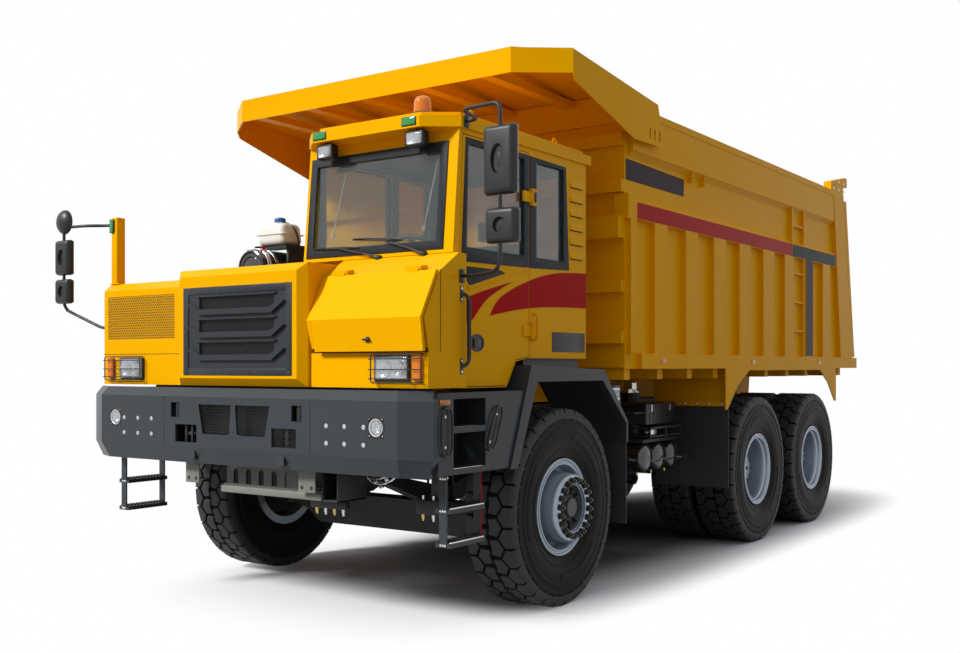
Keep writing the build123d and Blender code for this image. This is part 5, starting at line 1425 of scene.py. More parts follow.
# %% Wedge under the door window
wedge = [(-1.262, 2.478), (-1.258, 2.43), (-1.174, 2.352), (-0.914, 2.418), (-0.74, 2.462), (-0.8, 2.482)]
dress(add_plate("belt_wedge", wedge, "x", 1.6085, 1.6125, 0.001), "cab_door", seal_rubber)
lip = [
    (-1.262, 2.398), (-1.182, 2.322), (-0.914, 2.392), (-0.65, 2.462), (-0.45, 2.512),
    (-0.45, 2.528), (-0.65, 2.478), (-0.914, 2.408), (-1.176, 2.342), (-1.262, 2.42),
]
dress(add_plate("belt_lip", lip, "x", 1.6085, 1.6165, 0.002), "cab_door", cab_yellow)
gap_seal = add_box("door_seal", (1.585, -0.4345, 1.89), (1.604, -0.43, 3.35))
dress(gap_seal, "root", seal_rubber)

# %% [markdown]
# ## Stripes
# The red stripe is adhesive film. It starts at the cab's rear edge, swoops down towards the
# door's front and splits in two, so each branch is a thin plate cut to its own outline. The door
# and the shell behind it carry their own lengths, so that the stripe parts when the door opens.

# %% Red stripe on the cab
def smooth_line(points, steps=6):
    """More points through these, rounded with a subdivided curve."""
    line = bpy.data.curves.new("guide", "CURVE")
    line.dimensions = "3D"
    line.resolution_u = steps
    run = line.splines.new("NURBS")
    run.points.add(len(points) - 1)
    for point, (a, b) in zip(run.points, points):
        point.co = (a, b, 0, 1)
    run.use_endpoint_u = True
    run.order_u = 3
    guide = bpy.data.objects.new("guide", line)
    bpy.context.scene.collection.objects.link(guide)
    bpy.context.view_layer.update()
    shape = bpy.data.meshes.new_from_object(guide)
    found = [(corner.co.x, corner.co.y) for corner in shape.vertices]
    bpy.data.objects.remove(guide)
    return found


def add_film(name, outline):
    """A thin plate of film on the cab's near side."""
    return add_plate(name, outline, "x", 1.6092, 1.6108)


main_outline = smooth_line([
    (0.3985, 2.54), (0.122, 2.53), (-0.158, 2.5), (-0.436, 2.432), (-0.675, 2.352), (-0.87, 2.262),
    (-0.935, 2.158),
]) + smooth_line([(-0.935, 2.158), (-0.675, 2.203), (-0.436, 2.232), (-0.076, 2.258), (0.3985, 2.266)])[1:]
fore_outline = smooth_line([(-0.64, 2.412), (-0.914, 2.35), (-1.1, 2.302), (-1.268, 2.254)]) + smooth_line([
    (-1.268, 2.085), (-1.15, 2.105), (-1.074, 2.185), (-0.93, 2.305), (-0.64, 2.412),
])[:-1]
door_part = sliced(add_film("door_stripe", main_outline), (0, -0.4365, 0), (0, 1, 0))
shell_part = sliced(add_film("shell_stripe", main_outline), (0, -0.4295, 0), (0, -1, 0))
door_stripes = joined("door_stripes", [door_part, add_film("fore_stripe", fore_outline)])
dress(door_stripes, "cab_door", band_red)
dress(shell_part, "root", band_red)

# %% Blank plate, door lock and pull handles
plate = add_box("cab_plate", (1.609, -0.112, 1.918), (1.6125, 0.378, 2.068), 0.001)
dress(plate, "root", black_plastic)
lock_turns = [n * math.tau / 32 for n in range(32)]
lock_outline = [(-1.086 + 0.08 * math.cos(turn), 1.969 + 0.06 * math.sin(turn)) for turn in lock_turns]
lock = add_plate("door_lock", lock_outline, "x", 1.6085, 1.6165)
sunk(lock, lambda centre, normal: normal.x > 0.9, 0.01, (-0.006, 0, 0))
soften(lock, 0.0015)
paddle = add_box("door_paddle", (1.611, -1.126, 1.935), (1.618, -1.05, 1.998), 0.006, 3)
dress(joined("door_lock", [lock, paddle]), "cab_door", black_plastic)
pull_line = [(1.609, -0.385, 2.19), (1.652, -0.385, 2.19), (1.652, -0.385, 2.004), (1.609, -0.385, 2.004)]
dress(add_tube("rear_pull", pull_line, 0.0085, 0.022, 10), "root", cab_yellow)

# %% Handrail at the door's front edge, ribbed for grip
rail_line = [(1.669, -1.345, 2.285), (1.712, -1.318, 2.285), (1.712, -1.318, 1.81), (1.669, -1.345, 1.81)]
grip_profile = [(0.012, 0), (0.0155, 0.002), (0.0155, 0.009), (0.012, 0.011)]
grip = add_turned("rail_grip", grip_profile, origin, "z", 16, closed=False)
rail_parts = [
    add_tube("door_rail", rail_line, 0.0125, 0.05, 12, 5),
    repeat(grip, [Vector((1.712, -1.318, 1.865 + n * 0.0145)) for n in range(26)]),
]
rail_feet = []
for z in (2.285, 1.81):
    rail_parts.append(add_box("rail_foot", (1.669, -1.362, z - 0.052), (1.6745, -1.328, z + 0.052), 0.003))
    rail_feet += [(1.6745, -1.345, z - 0.036), (1.6745, -1.345, z + 0.036)]
dress(joined("door_rail", rail_parts), "root", black_plastic)
dress(add_bolts("rail_bolts", 0.0075, rail_feet, "left"), "root")

# %% [markdown]
# Six pressed louvres let air out of the cab's rear pillar. Each is a shallow hood of the same
# yellow sheet, open below, with a near-black strip of painted shade in its mouth.

# %% Pillar louvres
hood_outline = [(1.609, 0.056), (1.611, 0.056), (1.6215, 0.004), (1.6215, 0), (1.609, 0)]
hood = add_plate("louvre_hood", hood_outline, "y", 0.15, 0.345, 0.003, 3)
# Painted shade: a near-black strip in each louvre's mouth, under the hood.
mouth_shadow = add_box("louvre_mouth_shadow", (1.6092, 0.16, -0.006), (1.614, 0.335, 0.001))
louvre_moves = [Vector((0, 0, 2.64 + n * 0.11)) for n in range(6)]
dress(repeat(hood, louvre_moves), "root", cab_yellow)
dress(repeat(mouth_shadow, louvre_moves), "root", seam_black_and_painted_shade)

# %% [markdown]
# ## Roof
# Two lifting eyes stand on the roof's near edge. The amber beacon is a turned dome on a black
# foot. Work lamps hang under the visor and small green lamps sit in its front edge.

# %% Lifting eyes and beacon
eye_turns = [n * math.tau / 12 for n in range(12)]
eyes = []
for back in (-0.998, 0.106):
    loop = [(1.5, back + 0.026 * math.cos(turn), 3.541 + 0.026 * math.sin(turn)) for turn in eye_turns]
    eyes += [
        add_tube("lifting_eye", loop, 0.0075, 0, 8, loop=True),
        add_box("eye_foot", (1.485, back - 0.028, 3.502), (1.515, back + 0.028, 3.515), 0.003),
    ]
dress(joined("lifting_eyes", eyes), "root", cab_yellow)
beacon_foot = [(0, 0), (0.084, 0), (0.086, 0.006), (0.08, 0.022), (0.07, 0.03), (0, 0.03)]
beacon_dome = [
    (0, 0.147), (0.022, 0.145), (0.044, 0.136), (0.057, 0.12), (0.062, 0.1), (0.063, 0.06),
    (0.066, 0.034), (0.066, 0.028), (0, 0.028),
]
beacon_place = (1.276, -1.25, 3.5052)
foot = add_turned("beacon_foot", beacon_foot, beacon_place, "z", 40)
dress(foot, "root", black_plastic)
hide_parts("roof_lamps")
dress(add_turned("beacon_dome", beacon_dome, beacon_place, "z", 40), "root", lamp_amber)

# %% Work lamps and green markers
bodies, lamp_faces = [], []
for low_x, high_x in ((0.448, 0.598), (1.252, 1.412)):
    middle_x = (low_x + high_x) / 2
    body = add_box("work_lamp", (low_x, -1.425, 3.278), (high_x, -1.352, 3.382), 0.012, 3, black_plastic)
    bodies += [
        sunk(body, lambda centre, normal: normal.y < -0.95, 0.006, (0, 0.01, 0)),
        add_box("work_reflector", (low_x + 0.016, -1.4155, 3.294), (high_x - 0.016, -1.4125, 3.366),
                paint=bright_steel),
        add_bar(
            "work_lamp_stem", (middle_x, -1.388, 3.38), (middle_x, -1.388, 3.397), 0.01, paint=black_plastic,
        ),
    ]
    lens = add_box("work_lens", (low_x + 0.014, -1.4245, 3.292), (high_x - 0.014, -1.4185, 3.368), 0.003)
    lamp_faces.append(lens)
dress(joined("work_lamps", bodies), "root")
dress(joined("work_lenses", lamp_faces), "root", lamp_clear)
rim = Vector((0.006, 0, 0.006))
proud = Vector((0, 0.003, 0))
greens, frames = [], []
for low, high in (
    (Vector((0.449, -1.4545, 3.414)), Vector((0.562, -1.449, 3.462))),
    (Vector((1.258, -1.4545, 3.414)), Vector((1.369, -1.449, 3.462))),
    (Vector((-1.642, -1.6215, 2.893)), Vector((-1.603, -1.614, 2.99))),
):
    frames.append(add_box("marker_rim", low - rim, high + rim, 0.002))
    greens.append(add_box("marker_glass", low - proud, high, 0.002))
dress(joined("marker_rims", frames), "root", black_plastic)
dress(joined("green_markers", greens), "root", lamp_green)

# %% [markdown]
# ## Wipers
# Both wipers park to the off side. An arm of bent tube runs from a pivot on the cowl to the
# middle of a blade, which has a steel bow and a rubber edge that lies along the glass. Behind the
# glass, each sun blind hangs from its case with a cord and a bob.

# %% Wipers
def on_screen(x, z, off):
    """A place in front of the screen, or behind it for a positive distance."""
    return Vector((x, screen_back(z) + off, z))


wiper_rows = (
    # pivot x and height, blade start x and height, blade end x and height
    (0.99, 2.556, 0.372, 2.652, 0.79, 2.64),
    (1.382, 2.562, 0.745, 2.702, 1.18, 2.672),
)
wiper_parts = []
for pivot_x, pivot_z, start_x, start_z, end_x, end_z in wiper_rows:
    pivot = Vector((pivot_x, -1.366, pivot_z))
    start, end = on_screen(start_x, start_z, -0.016), on_screen(end_x, end_z, -0.016)
    middle = (start + end) / 2 + Vector((0.02, -0.016, 0))
    knee = pivot.lerp(middle, 0.32) + Vector((0, -0.014, 0.006))
    arm = [knee, knee.lerp(middle, 0.5) + Vector((0, -0.004, 0)), middle]
    bow = [start.lerp(end, part) + Vector((0, -0.012, 0.004)) for part in (0.3, 0.7)]
    rubber = (start + Vector((-0.01, 0.006, -0.004)), end + Vector((0.01, 0.006, -0.004)))
    hose = [
        pivot + Vector((0.012, -0.012, -0.012)), pivot + Vector((-0.004, -0.02, -0.052)),
        pivot + Vector((-0.044, -0.016, -0.05)), pivot + Vector((-0.03, -0.018, -0.006)),
    ]
    wiper_parts += [
        add_bar("wiper_pivot", pivot + Vector((0, 0.012, 0)), pivot + Vector((0, -0.026, 0)), 0.019),
        add_bar("wiper_root", pivot + Vector((0, -0.018, 0)), knee, 0.0105, 12, 0.007),
        add_tube("wiper_arm", arm, 0.0048, 0.03, 8),
        add_tube("wiper_bow", [start, *bow, end], 0.0042, 0.03, 8),
        add_bar("wiper_rubber", *rubber, 0.0052, 8),
        add_tube("washer_hose", hose, 0.0032, 0.02, 8, 5),
    ]
dress(joined("wipers", wiper_parts), "root", black_plastic)

# %% Sun blinds
blinds = []
for top_x, top_z, foot_x, foot_z in ((0.591, 3.198, 0.499, 2.746), (1.417, 3.204, 1.328, 2.741)):
    top, foot = on_screen(top_x, top_z, 0.04), on_screen(foot_x, foot_z, 0.04)
    bob = (foot + Vector((0, 0, 0.016)), foot - Vector((0, 0, 0.018)))
    case = (top + Vector((-0.085, -0.012, 0.004)), top + Vector((0.085, 0.016, 0.088)))
    blinds += [
        add_bar("blind_cord", top, foot, 0.004, 8, paint=tank_white),
        add_bar("blind_bob", *bob, 0.011, 14, edge=0.004, paint=tank_white),
        add_box("blind_case", *case, 0.008, paint=black_plastic),
    ]
dress(joined("sun_blinds", blinds), "root")
print("cab pieces done")

# %% [markdown]
# ## Mirrors
# The camera sees the backs of the near mirrors: deep rounded shells, each with an oval hollow
# round the clamp that holds it on its tube. A shell is a box that is tapered towards the front,
# rounded, and pressed in by a bowl-shaped tool. The mirror glass closes its other side.

# %% Mirrors
shell_depth = 0.066
oval_turns = [n * math.tau / 28 for n in range(28)]


def add_mirror(low_x, high_x, low_z, high_z, back):
    """A rounded shell whose glass faces the driver, with its hollow on the front."""
    middle = Vector(((low_x + high_x) / 2, back, (low_z + high_z) / 2))
    half_x, half_z = (high_x - low_x) / 2, (high_z - low_z) / 2
    front, rear = back - shell_depth / 2, back + shell_depth / 2
    shell = add_box("mirror_shell", (low_x, front, low_z), (high_x, rear, high_z), paint=black_plastic)
    soften(tapered(shell, lambda centre, normal: normal.y < -0.9, (0.86, 1, 0.92), middle), 0.026, 5)
    hollow = [
        (middle.x + half_x * 0.5 * math.cos(turn), middle.z + half_z * 0.52 * math.sin(turn))
        for turn in oval_turns
    ]
    tool = add_plate("tool", hollow, "y", back - shell_depth, back - shell_depth * 0.2)
    cut(shell, tapered(tool, lambda centre, normal: normal.y > 0.9, (0.66, 1, 0.72), middle))
    glass = add_box(
        "mirror_glass", (low_x + 0.013, rear - 0.002, low_z + 0.013),
        (high_x - 0.013, rear + 0.0015, high_z - 0.013),
        0.004, 3, bright_steel,
    )
    clamp = (middle + Vector((0, 0.006, -0.045)), middle + Vector((0, 0.006, 0.045)))
    return [shell, glass, add_bar("mirror_clamp", *clamp, 0.02, edge=0.004, paint=black_plastic)]


mirror_rows = (
    # low x, high x, low z, high z, place behind the axle
    (1.985, 2.235, 2.862, 3.305, -1.548),
    (2.0, 2.25, 2.565, 2.79, -1.548),
    (-2.25, -2.045, 2.56, 2.86, -1.698),
    (-2.25, -2.045, 2.325, 2.535, -1.698),
)
mirror_parts = []
for row in mirror_rows:
    mirror_parts += add_mirror(*row)
near_arm = [
    (1.6265, -1.23, 3.44), (1.72, -1.23, 3.44), (1.8, -1.512, 3.44), (2.11, -1.545, 3.44),
    (2.11, -1.545, 2.452), (2.06, -1.512, 2.402), (1.76, -1.345, 2.4), (1.6715, -1.345, 2.4),
]
off_arm = [
    (-1.6435, -1.56, 2.96), (-1.75, -1.56, 2.96), (-1.9, -1.662, 2.96), (-2.15, -1.695, 2.96),
    (-2.15, -1.695, 2.29), (-2.08, -1.662, 2.25), (-1.76, -1.6, 2.12), (-1.6515, -1.6, 2.12),
]
for arm, side in ((near_arm, 1), (off_arm, -1)):
    mirror_parts.append(add_tube("mirror_arm", arm, 0.0125, 0.055, 12, 5, paint=black_plastic))
    for x, y, z in (arm[0], arm[-1]):
        flange = ((x, y - 0.028, z - 0.045), (x + side * 0.007, y + 0.028, z + 0.045))
        mirror_parts.append(add_box("arm_flange", *flange, 0.003, paint=black_plastic))
        for up in (z - 0.03, z + 0.03):
            bolt = ((x, y, up), (x + side * 0.013, y, up))
            mirror_parts.append(add_bar("flange_bolt", *bolt, 0.0075, 6, paint=dark_bolt))
dome_place = (-2.148, -1.697, 3.005)
dome_profile = [(0, -0.04), (0.048, -0.034), (0.084, -0.018), (0.099, 0), (0.101, 0.012), (0, 0.012)]
dome_glass_profile = [(0, 0.03), (0.058, 0.024), (0.09, 0.0125), (0, 0.0125)]
mirror_parts += [
    add_turned("wide_view_dome", dome_profile, dome_place, "y", 40, paint=black_plastic),
    add_turned("wide_view_glass", dome_glass_profile, dome_place, "y", 40, paint=bright_steel),
]
mirrors = dress(joined("rear_view_mirrors", mirror_parts), "root")
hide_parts("mirrors")
print("mirrors", len(mirrors.data.polygons), "faces")

# %% [markdown]
# ## Load bed
# Coloured film covers the band along the top of the ribs: red at the front, then black. Dark film
# covers a patch behind the cab and the leg near the tail. A film is a plate far thinner than the
# steel under it.

# %% Bands
film = 0.0012
for name, front, rear, paint in (("red_band", 1.008, 4.78, band_red), ("black_band", 4.79, 6.34, band_black)):
    strips = [
        add_box(name, (side * bed_rib_x, front, 3.034), (side * (bed_rib_x + film), rear, 3.168))
        for side in (1, -1)
    ]
    dress(joined(name, strips), "bed", paint)
patch_outline = [(0.9, 3.345), (2.03, 3.345), (2.03, 3.5), (0.9, 3.52)]
patches = []
for side in (1, -1):
    patches += [
        add_plate("dark_patch", patch_outline, "x", side * 1.7, side * 1.7012),
        add_box("leg_film", (side * bed_rib_x, 5.245, 1.93), (side * (bed_rib_x + film), 5.48, 3.034)),
    ]
dress(joined("dark_films", patches), "bed", band_violet)

# %% [markdown]
# Welded plates carry small things that tell their size: bead lines at the foot of the ribs, round
# rungs in the ladder, bolts in the hinge brackets, and reflectors.

# %% Weld beads, ladder, bolts and reflectors
rib_rows = (
    # front edge behind the axle, length
    (0.9, 0.1), (1.34, 0.25), (1.97, 0.27), (2.605, 0.285), (3.24, 0.3), (3.895, 0.32), (4.54, 0.29),
    (5.24, 0.245), (5.85, 0.27),
)
beads, rungs, reflectors = [], [], []
for side in (1, -1):
    for start, length in rib_rows:
        for back in (start, start + length):
            beads.append(
                add_bar("weld", (side * 1.7005, back, 1.925), (side * 1.7005, back, 3.03), 0.0055, 6),
            )
    beads.append(add_bar("weld", (side * 1.7462, 0.985, 3.5895), (side * 1.7462, 6.29, 3.5895), 0.0045, 6))
    x = side * 1.7225
    for z in (2.21, 2.534, 2.854, 3.388):
        rungs.append(add_bar("bed_rung", (x, 4.8, z), (x, 5.215, z), 0.0125, 14))
        for back in (4.8, 5.215):
            rungs.append(add_bar("rung_weld", (x, back - 0.004, z), (x, back + 0.004, z), 0.018, 14))
    for back in (1.5, 3.6, 5.7):
        ends = ((side * 1.7505, back - 0.045, 1.835), (side * 1.754, back + 0.045, 1.875))
        reflectors.append(add_box("side_reflector", *ends, 0.0012))
dress(joined("weld_beads", beads), "bed", yellow)
dress(joined("bed_rungs", rungs), "bed", yellow)
dress(joined("side_reflectors", reflectors), "bed", lamp_amber)
for side_name, side in truck_sides:
    spots = [(side * 1.7505, back, z) for back in (6.26, 6.46, 6.66) for z in (3.99, 4.09)]
    dress(add_bolts(f"{side_name}_hinge_bolts", 0.014, spots, side_name), "bed")

# %% [markdown]
# A yellow bulkhead closes the underframe ahead of the rear tyres. The rubber flap hangs from the
# bolted flange at its foot.

# %% Bulkhead over the flaps
bulkheads = []
for side in (1, -1):
    bulkheads += [
        add_box("bulkhead", (side * 0.945, 2.9795, 1.432), (side * 1.7365, 2.9845, 1.79)),
        add_box("bulkhead_flange", (side * 0.945, 2.974, 1.418), (side * 1.7365, 2.9845, 1.47), 0.002),
    ]
dress(joined("flap_bulkheads", bulkheads), "bed", yellow)
spots = [(side * (1.02 + n * 0.13), 2.974, 1.444) for side in (1, -1) for n in range(6)]
dress(add_bolts("flange_bolts", 0.01, spots), "bed")

# %% [markdown]
# ## Beside the chassis
# The air tanks have glossy black shells with bright end bosses and straps. Brass and steel
# nipples hang from two valve blocks behind the bumper, and short steel pipes run above them.

# %% Air tanks
def add_band(name, radius, thickness, start, width, centre, axis, sides, paint):
    """A thin metal band round a tank, with its edges eased by 1 mm."""
    outer = radius + thickness
    end = start + width
    profile = [(radius, start), (outer, start + 0.001), (outer, end - 0.001), (radius, end)]
    return add_turned(name, profile, centre, axis, sides, closed=False, paint=paint)


tank_profile = [
    (0, 1.318), (0.03, 1.317), (0.075, 1.309), (0.112, 1.293), (0.134, 1.272), (0.1415, 1.255),
    (0.1435, 1.24),
    (0.1435, 1.2), (0.1418, 1.198), (0.1418, 0.86), (0.1435, 0.858), (0.134, 0.82), (0.1, 0.803), (0, 0.8),
]
tank_parts, boss_parts = [], []
for back in (2.13, 2.423, 2.716):
    centre = (0, back, 0.955)
    tank_parts.append(add_turned("air_tank", tank_profile, centre, "x", 48, paint=tank_gloss))
    for start in (0.905, 1.13):
        tank_parts.append(add_band("tank_strap", 0.1425, 0.003, start, 0.035, centre, "x", 48, frame_black))
    y = back + 0.045
    pipe = [(1.35, y, 0.925), (1.385, y, 0.925), (1.39, y + 0.03, 0.955), (1.38, y + 0.085, 0.975)]
    boss_parts += [
        add_bar("tank_boss", (1.3, y, 0.925), (1.336, y, 0.925), 0.013, 6, paint=brass),
        add_bar("tank_nipple", (1.334, y, 0.925), (1.352, y, 0.925), 0.008, 12, paint=bright_steel),
        add_tube("tank_pipe", pipe, 0.0055, 0.03, 8, paint=frame_black),
        add_bar("drain_valve", (1.18, back, 0.818), (1.18, back, 0.786), 0.009, 12, paint=brass),
    ]

# %% Service box, trays and canister
side_boxes = [
    # name, two corners, edge, segments, paint
    ("battery_box", (0.545, 2.085, 1.262), (1.298, 2.725, 1.44), 0.01, 3, black_plastic),
    ("battery_lid", (0.542, 2.082, 1.432), (1.2995, 2.728, 1.4595), 0.006, 3, black_plastic),
    ("tank_valve", (1.24, 2.15, 1.168), (1.318, 2.27, 1.22), 0.006, 3, bright_steel),
    ("side_bracket", (0.9, 1.85, 1.375), (1.3, 2.06, 1.387), 0.003, 2, slate),
    ("tank_shelf", (0.54, 2.02, 1.098), (1.3, 2.8, 1.13), 0.004, 2, frame_black),
]
side_boxes += [
    ("lid_latch", (1.299, back - 0.018, 1.385), (1.306, back + 0.018, 1.45), 0.002, 2, bright_steel)
    for back in (2.2, 2.6)
]
side_boxes += [
    ("box_rib", (1.2975, 2.15 + n * 0.08, 1.285), (1.3015, 2.162 + n * 0.08, 1.375), 0.0015, 2, black_plastic)
    for n in range(7)
]
for z, depth in ((1.225, 0.018), (1.15, 0.014)):
    side_boxes += [
        ("tray_rail", (0.56, 2.07, z), (1.345, 2.09, z + depth), 0.003, 2, frame_black),
        ("tray_rail", (1.325, 2.07, z), (1.345, 2.76, z + depth), 0.003, 2, frame_black),
    ]
side_boxes += [
    ("tray_post", (1.328, back - 0.008, 1.14), (1.342, back + 0.008, 1.24), 0, 2, frame_black)
    for back in (2.085, 2.42, 2.745)
]
canister_place = (1.01, 1.96, 0)
canister_profile = [
    (0, 1.655), (0.045, 1.652), (0.07, 1.635), (0.077, 1.61), (0.077, 1.47), (0.08, 1.466),
    (0.08, 1.44), (0.072, 1.432), (0.06, 1.385), (0, 1.382),
]
box_parts = [add_box(*row) for row in side_boxes]
box_parts.append(add_turned("dryer_canister", canister_profile, canister_place, "z", 40, paint=wheel_silver))
for height in (1.59, 1.5):
    box_parts.append(
        add_band("canister_band", 0.0775, 0.002, height, 0.018, canister_place, "z", 40, bright_steel),
    )
tanks = dress(joined("side_tank_set", tank_parts + boss_parts + box_parts), "root")
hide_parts("side_tanks")
print("side tank set", len(tanks.data.polygons), "faces")

# %% Valve blocks and pipes behind the bumper
fittings = []
block_rows = (
    # low x, high x, aft, low z, high z, number of nipples
    (0.3, 0.64, -1.3, 0.79, 0.845, 4),
    (0.96, 1.24, -0.9, 0.745, 0.85, 3),
)
for low_x, high_x, back, low_z, high_z, number in block_rows:
    post_x = (low_x + high_x) / 2
    fittings.append(add_box(
        "valve_block", (low_x, back - 0.03, low_z), (high_x, back + 0.02, high_z), 0.005, paint=frame_black,
    ))
    for n in range(number):
        x = low_x + (n + 0.5) * (high_x - low_x) / number
        metal = bright_steel if n % 2 else brass
        for name, start, end, radius, sides, paint in (
            ("nipple", low_z + 0.002, low_z - 0.03, 0.016, 6, metal),
            ("nipple_neck", low_z - 0.028, low_z - 0.048, 0.009, 12, metal),
            ("block_pipe", high_z - 0.002, high_z + 0.03, 0.01, 12, bright_steel),
        ):
            fittings.append(add_bar(name, (x, back, start), (x, back, end), radius, sides, paint=paint))
    fittings += [
        add_box("block_hanger", (post_x - 0.035, back + 0.016, low_z + 0.01), (
            post_x + 0.035, back + 0.024, 1.15,
        ),
                0.002, paint=frame_black),
        add_box(
            "hanger_bar", (0.42, back + 0.01, 1.13), (high_x, back + 0.045, 1.16), 0.003, paint=frame_black,
        ),
    ]
for shift, height in ((0, 0), (0.05, -0.035), (0.1, 0.02)):
    route = [
        (0.7 + shift, -1.25, 1.15), (0.72 + shift, -1.255, 1.05 + height),
        (0.86 + shift, -1.27, 1.01 + height),
        (1.01 + shift / 2, -1.24, 1.06 + height), (1.02 + shift / 2, -1.2, 1.15),
    ]
    nut = ((0.86 + shift, -1.27, 0.998 + height), (0.885 + shift, -1.267, 1.01 + height))
    fittings += [
        add_tube("steel_pipe", route, 0.0075, 0.07, 10, 5, paint=bright_steel),
        add_bar("pipe_nut", *nut, 0.013, 6, paint=bright_steel),
    ]
dress(joined("valve_fittings", fittings), "root")

# %% [markdown]
# U-bolts clamp the leaf springs to the axles, and the fuel tank has two straps and a filler cap.

# %% Spring clamps and fuel tank details
clamps = []
for side in (1, -1):
    near, far = side * 0.415, side * 0.545
    for back in (-0.085, 0.085):
        line = [(near, back, 0.7), (near, back, 1.022), (far, back, 1.022), (far, back, 0.7)]
        clamps.append(add_tube("u_bolt", line, 0.011, 0.02, 10))
        clamps += [add_bar("u_bolt_nut", (x, back, 0.7), (x, back, 0.722), 0.019, 6) for x in (near, far)]
dress(joined("spring_clamps", clamps), "root", dark_bolt)
(low_x, low_y, low_z), (high_x, high_y, high_z) = node_box("fuel_tank")
straps = []
for share in (0.22, 0.78):
    y = low_y + share * (high_y - low_y)
    straps += [
        add_box(
            "tank_strap", (low_x - 0.002, y - 0.03, low_z - 0.002), (low_x + 0.001, y + 0.03, high_z - 0.03),
            0.001,
        ),
        add_box("tank_strap", (low_x, y - 0.03, high_z - 0.001), (high_x, y + 0.03, high_z + 0.002), 0.001),
    ]
filler = [(0, 0.04), (0.052, 0.038), (0.058, 0.03), (0.058, 0.014), (0.048, 0.01), (0.048, 0), (0, 0)]
straps.append(add_turned("filler_cap", filler, (low_x + 0.12, low_y + 0.16, high_z - 0.002), "z", 32))
dress(joined("fuel_tank_fittings", straps), "root", bright_steel)

# %% [markdown]
# ## Inside the cab
# Grey moulded linings cover the yellow steel inside. Each is a thin plate with its window cut out
# by a smaller plate. They stay clear of the door, which carries its own lining.

# %% Linings
def lined(name, outline, windows, axis, low, high):
    """A thin plate with window openings."""
    piece = add_plate(name, outline, axis, low, high)
    for window in windows:
        piece = cut(piece, add_plate("tool", window, axis, low - 0.02, high + 0.02))
    return piece


near_window = upright(-0.345, 0.065, 2.595, 3.315)
off_window = upright(-1.185, -0.425, 2.595, 3.315)
rear_window = upright(0.462, 1.41, 2.645, 3.31)
linings = [
    lined("near_lining", upright(-0.425, 0.362, 1.76, 3.384), [near_window], "x", 1.548, 1.556),
    lined("off_lining", upright(-1.25, 0.362, 1.76, 3.384), [off_window, near_window], "x", 0.318, 0.326),
    lined("rear_lining", upright(0.32, 1.555, 1.76, 3.384), [rear_window], "y", 0.35, 0.358),
    add_plate("roof_lining", upright(0.32, 1.555, -1.24, 0.355), "z", 3.376, 3.386),
    add_box("roof_console", (0.42, -1.22, 3.3), (1.46, -0.98, 3.378), 0.015, 3),
]
dress(joined("cab_linings", linings), "root", trim_plastic)
door_outline = [(-1.225, 1.76), (-0.445, 1.9), (-0.445, 2.59), (-1.215, 2.59)]
door_parts = [
    add_plate("door_lining", door_outline, "x", 1.552, 1.5665, 0.004),
    add_box("door_armrest", (1.5, -0.9, 2.33), (1.553, -0.52, 2.385), 0.014, 3),
]
dress(joined("door_lining", door_parts), "cab_door", trim_plastic)

# %% [markdown]
# The driver's seat is padded. A cushion starts as a finely divided block. Its faces swell towards
# the middle, its sides pull in between the corners, and two sewn channels are pressed into the
# cover. The moves are worked out in code from each point's place in the block.

# %% Cushions
def add_cushion(name, low, high, thin, channels):
    """A crowned cushion; thin is its thickness axis and channels are sewn lines across x."""
    low, high = Vector(low), Vector(high)
    middle, half = (low + high) / 2, (high - low) / 2
    piece = add_box(name, low, high)
    edit_all(piece)
    bpy.ops.mesh.subdivide(number_cuts=23)
    calm()
    one, two = [axis for axis in range(3) if axis != thin]
    for point in piece.data.vertices:
        share = [(point.co[n] - middle[n]) / half[n] for n in range(3)]
        edge = max(abs(share[one]), abs(share[two]))
        flat = max(0, 1 - share[one] ** 4) * max(0, 1 - share[two] ** 4)
        swell = 0.72 + 0.28 * flat ** 0.5
        for line in channels:
            distance = abs(share[0] - line) * half[0]
            swell -= 0.22 * math.exp(-((distance / 0.01) ** 2)) * flat
        point.co[thin] = middle[thin] + share[thin] * half[thin] * swell
        hem = 1 - 0.03 * abs(share[thin]) ** 3 * edge ** 8
        for axis, other in ((one, two), (two, one)):
            pull = 1 - 0.035 * (1 - share[other] ** 2) * abs(share[axis]) ** 2
            corner = 1 - 0.05 * abs(share[other]) ** 6 * abs(share[axis]) ** 6
            point.co[axis] = middle[axis] + share[axis] * half[axis] * pull * corner * hem
    return modified(piece, "SUBSURF", levels=1, render_levels=1)


cushion_rows = (
    # name, two corners, thickness axis, sewn lines, how firmly it is filled
    ("seat_squab", (0.775, -0.59, 2.185), (1.265, -0.1, 2.325), 2, (-0.42, 0.42), 0.8),
    ("seat_backrest", (0.785, -0.105, 2.325), (1.255, 0.03, 2.76), 1, (-0.45, 0.45), 0.8),
    ("seat_headrest", (0.89, -0.085, 2.79), (1.15, 0.02, 2.945), 1, (), 0.85),
)
for name, low, high, thin, channels, firmness in cushion_rows:
    cushion = add_cushion(name, low, high, thin, channels)
    dress(cushion, "root", seat_cloth, angle=60)

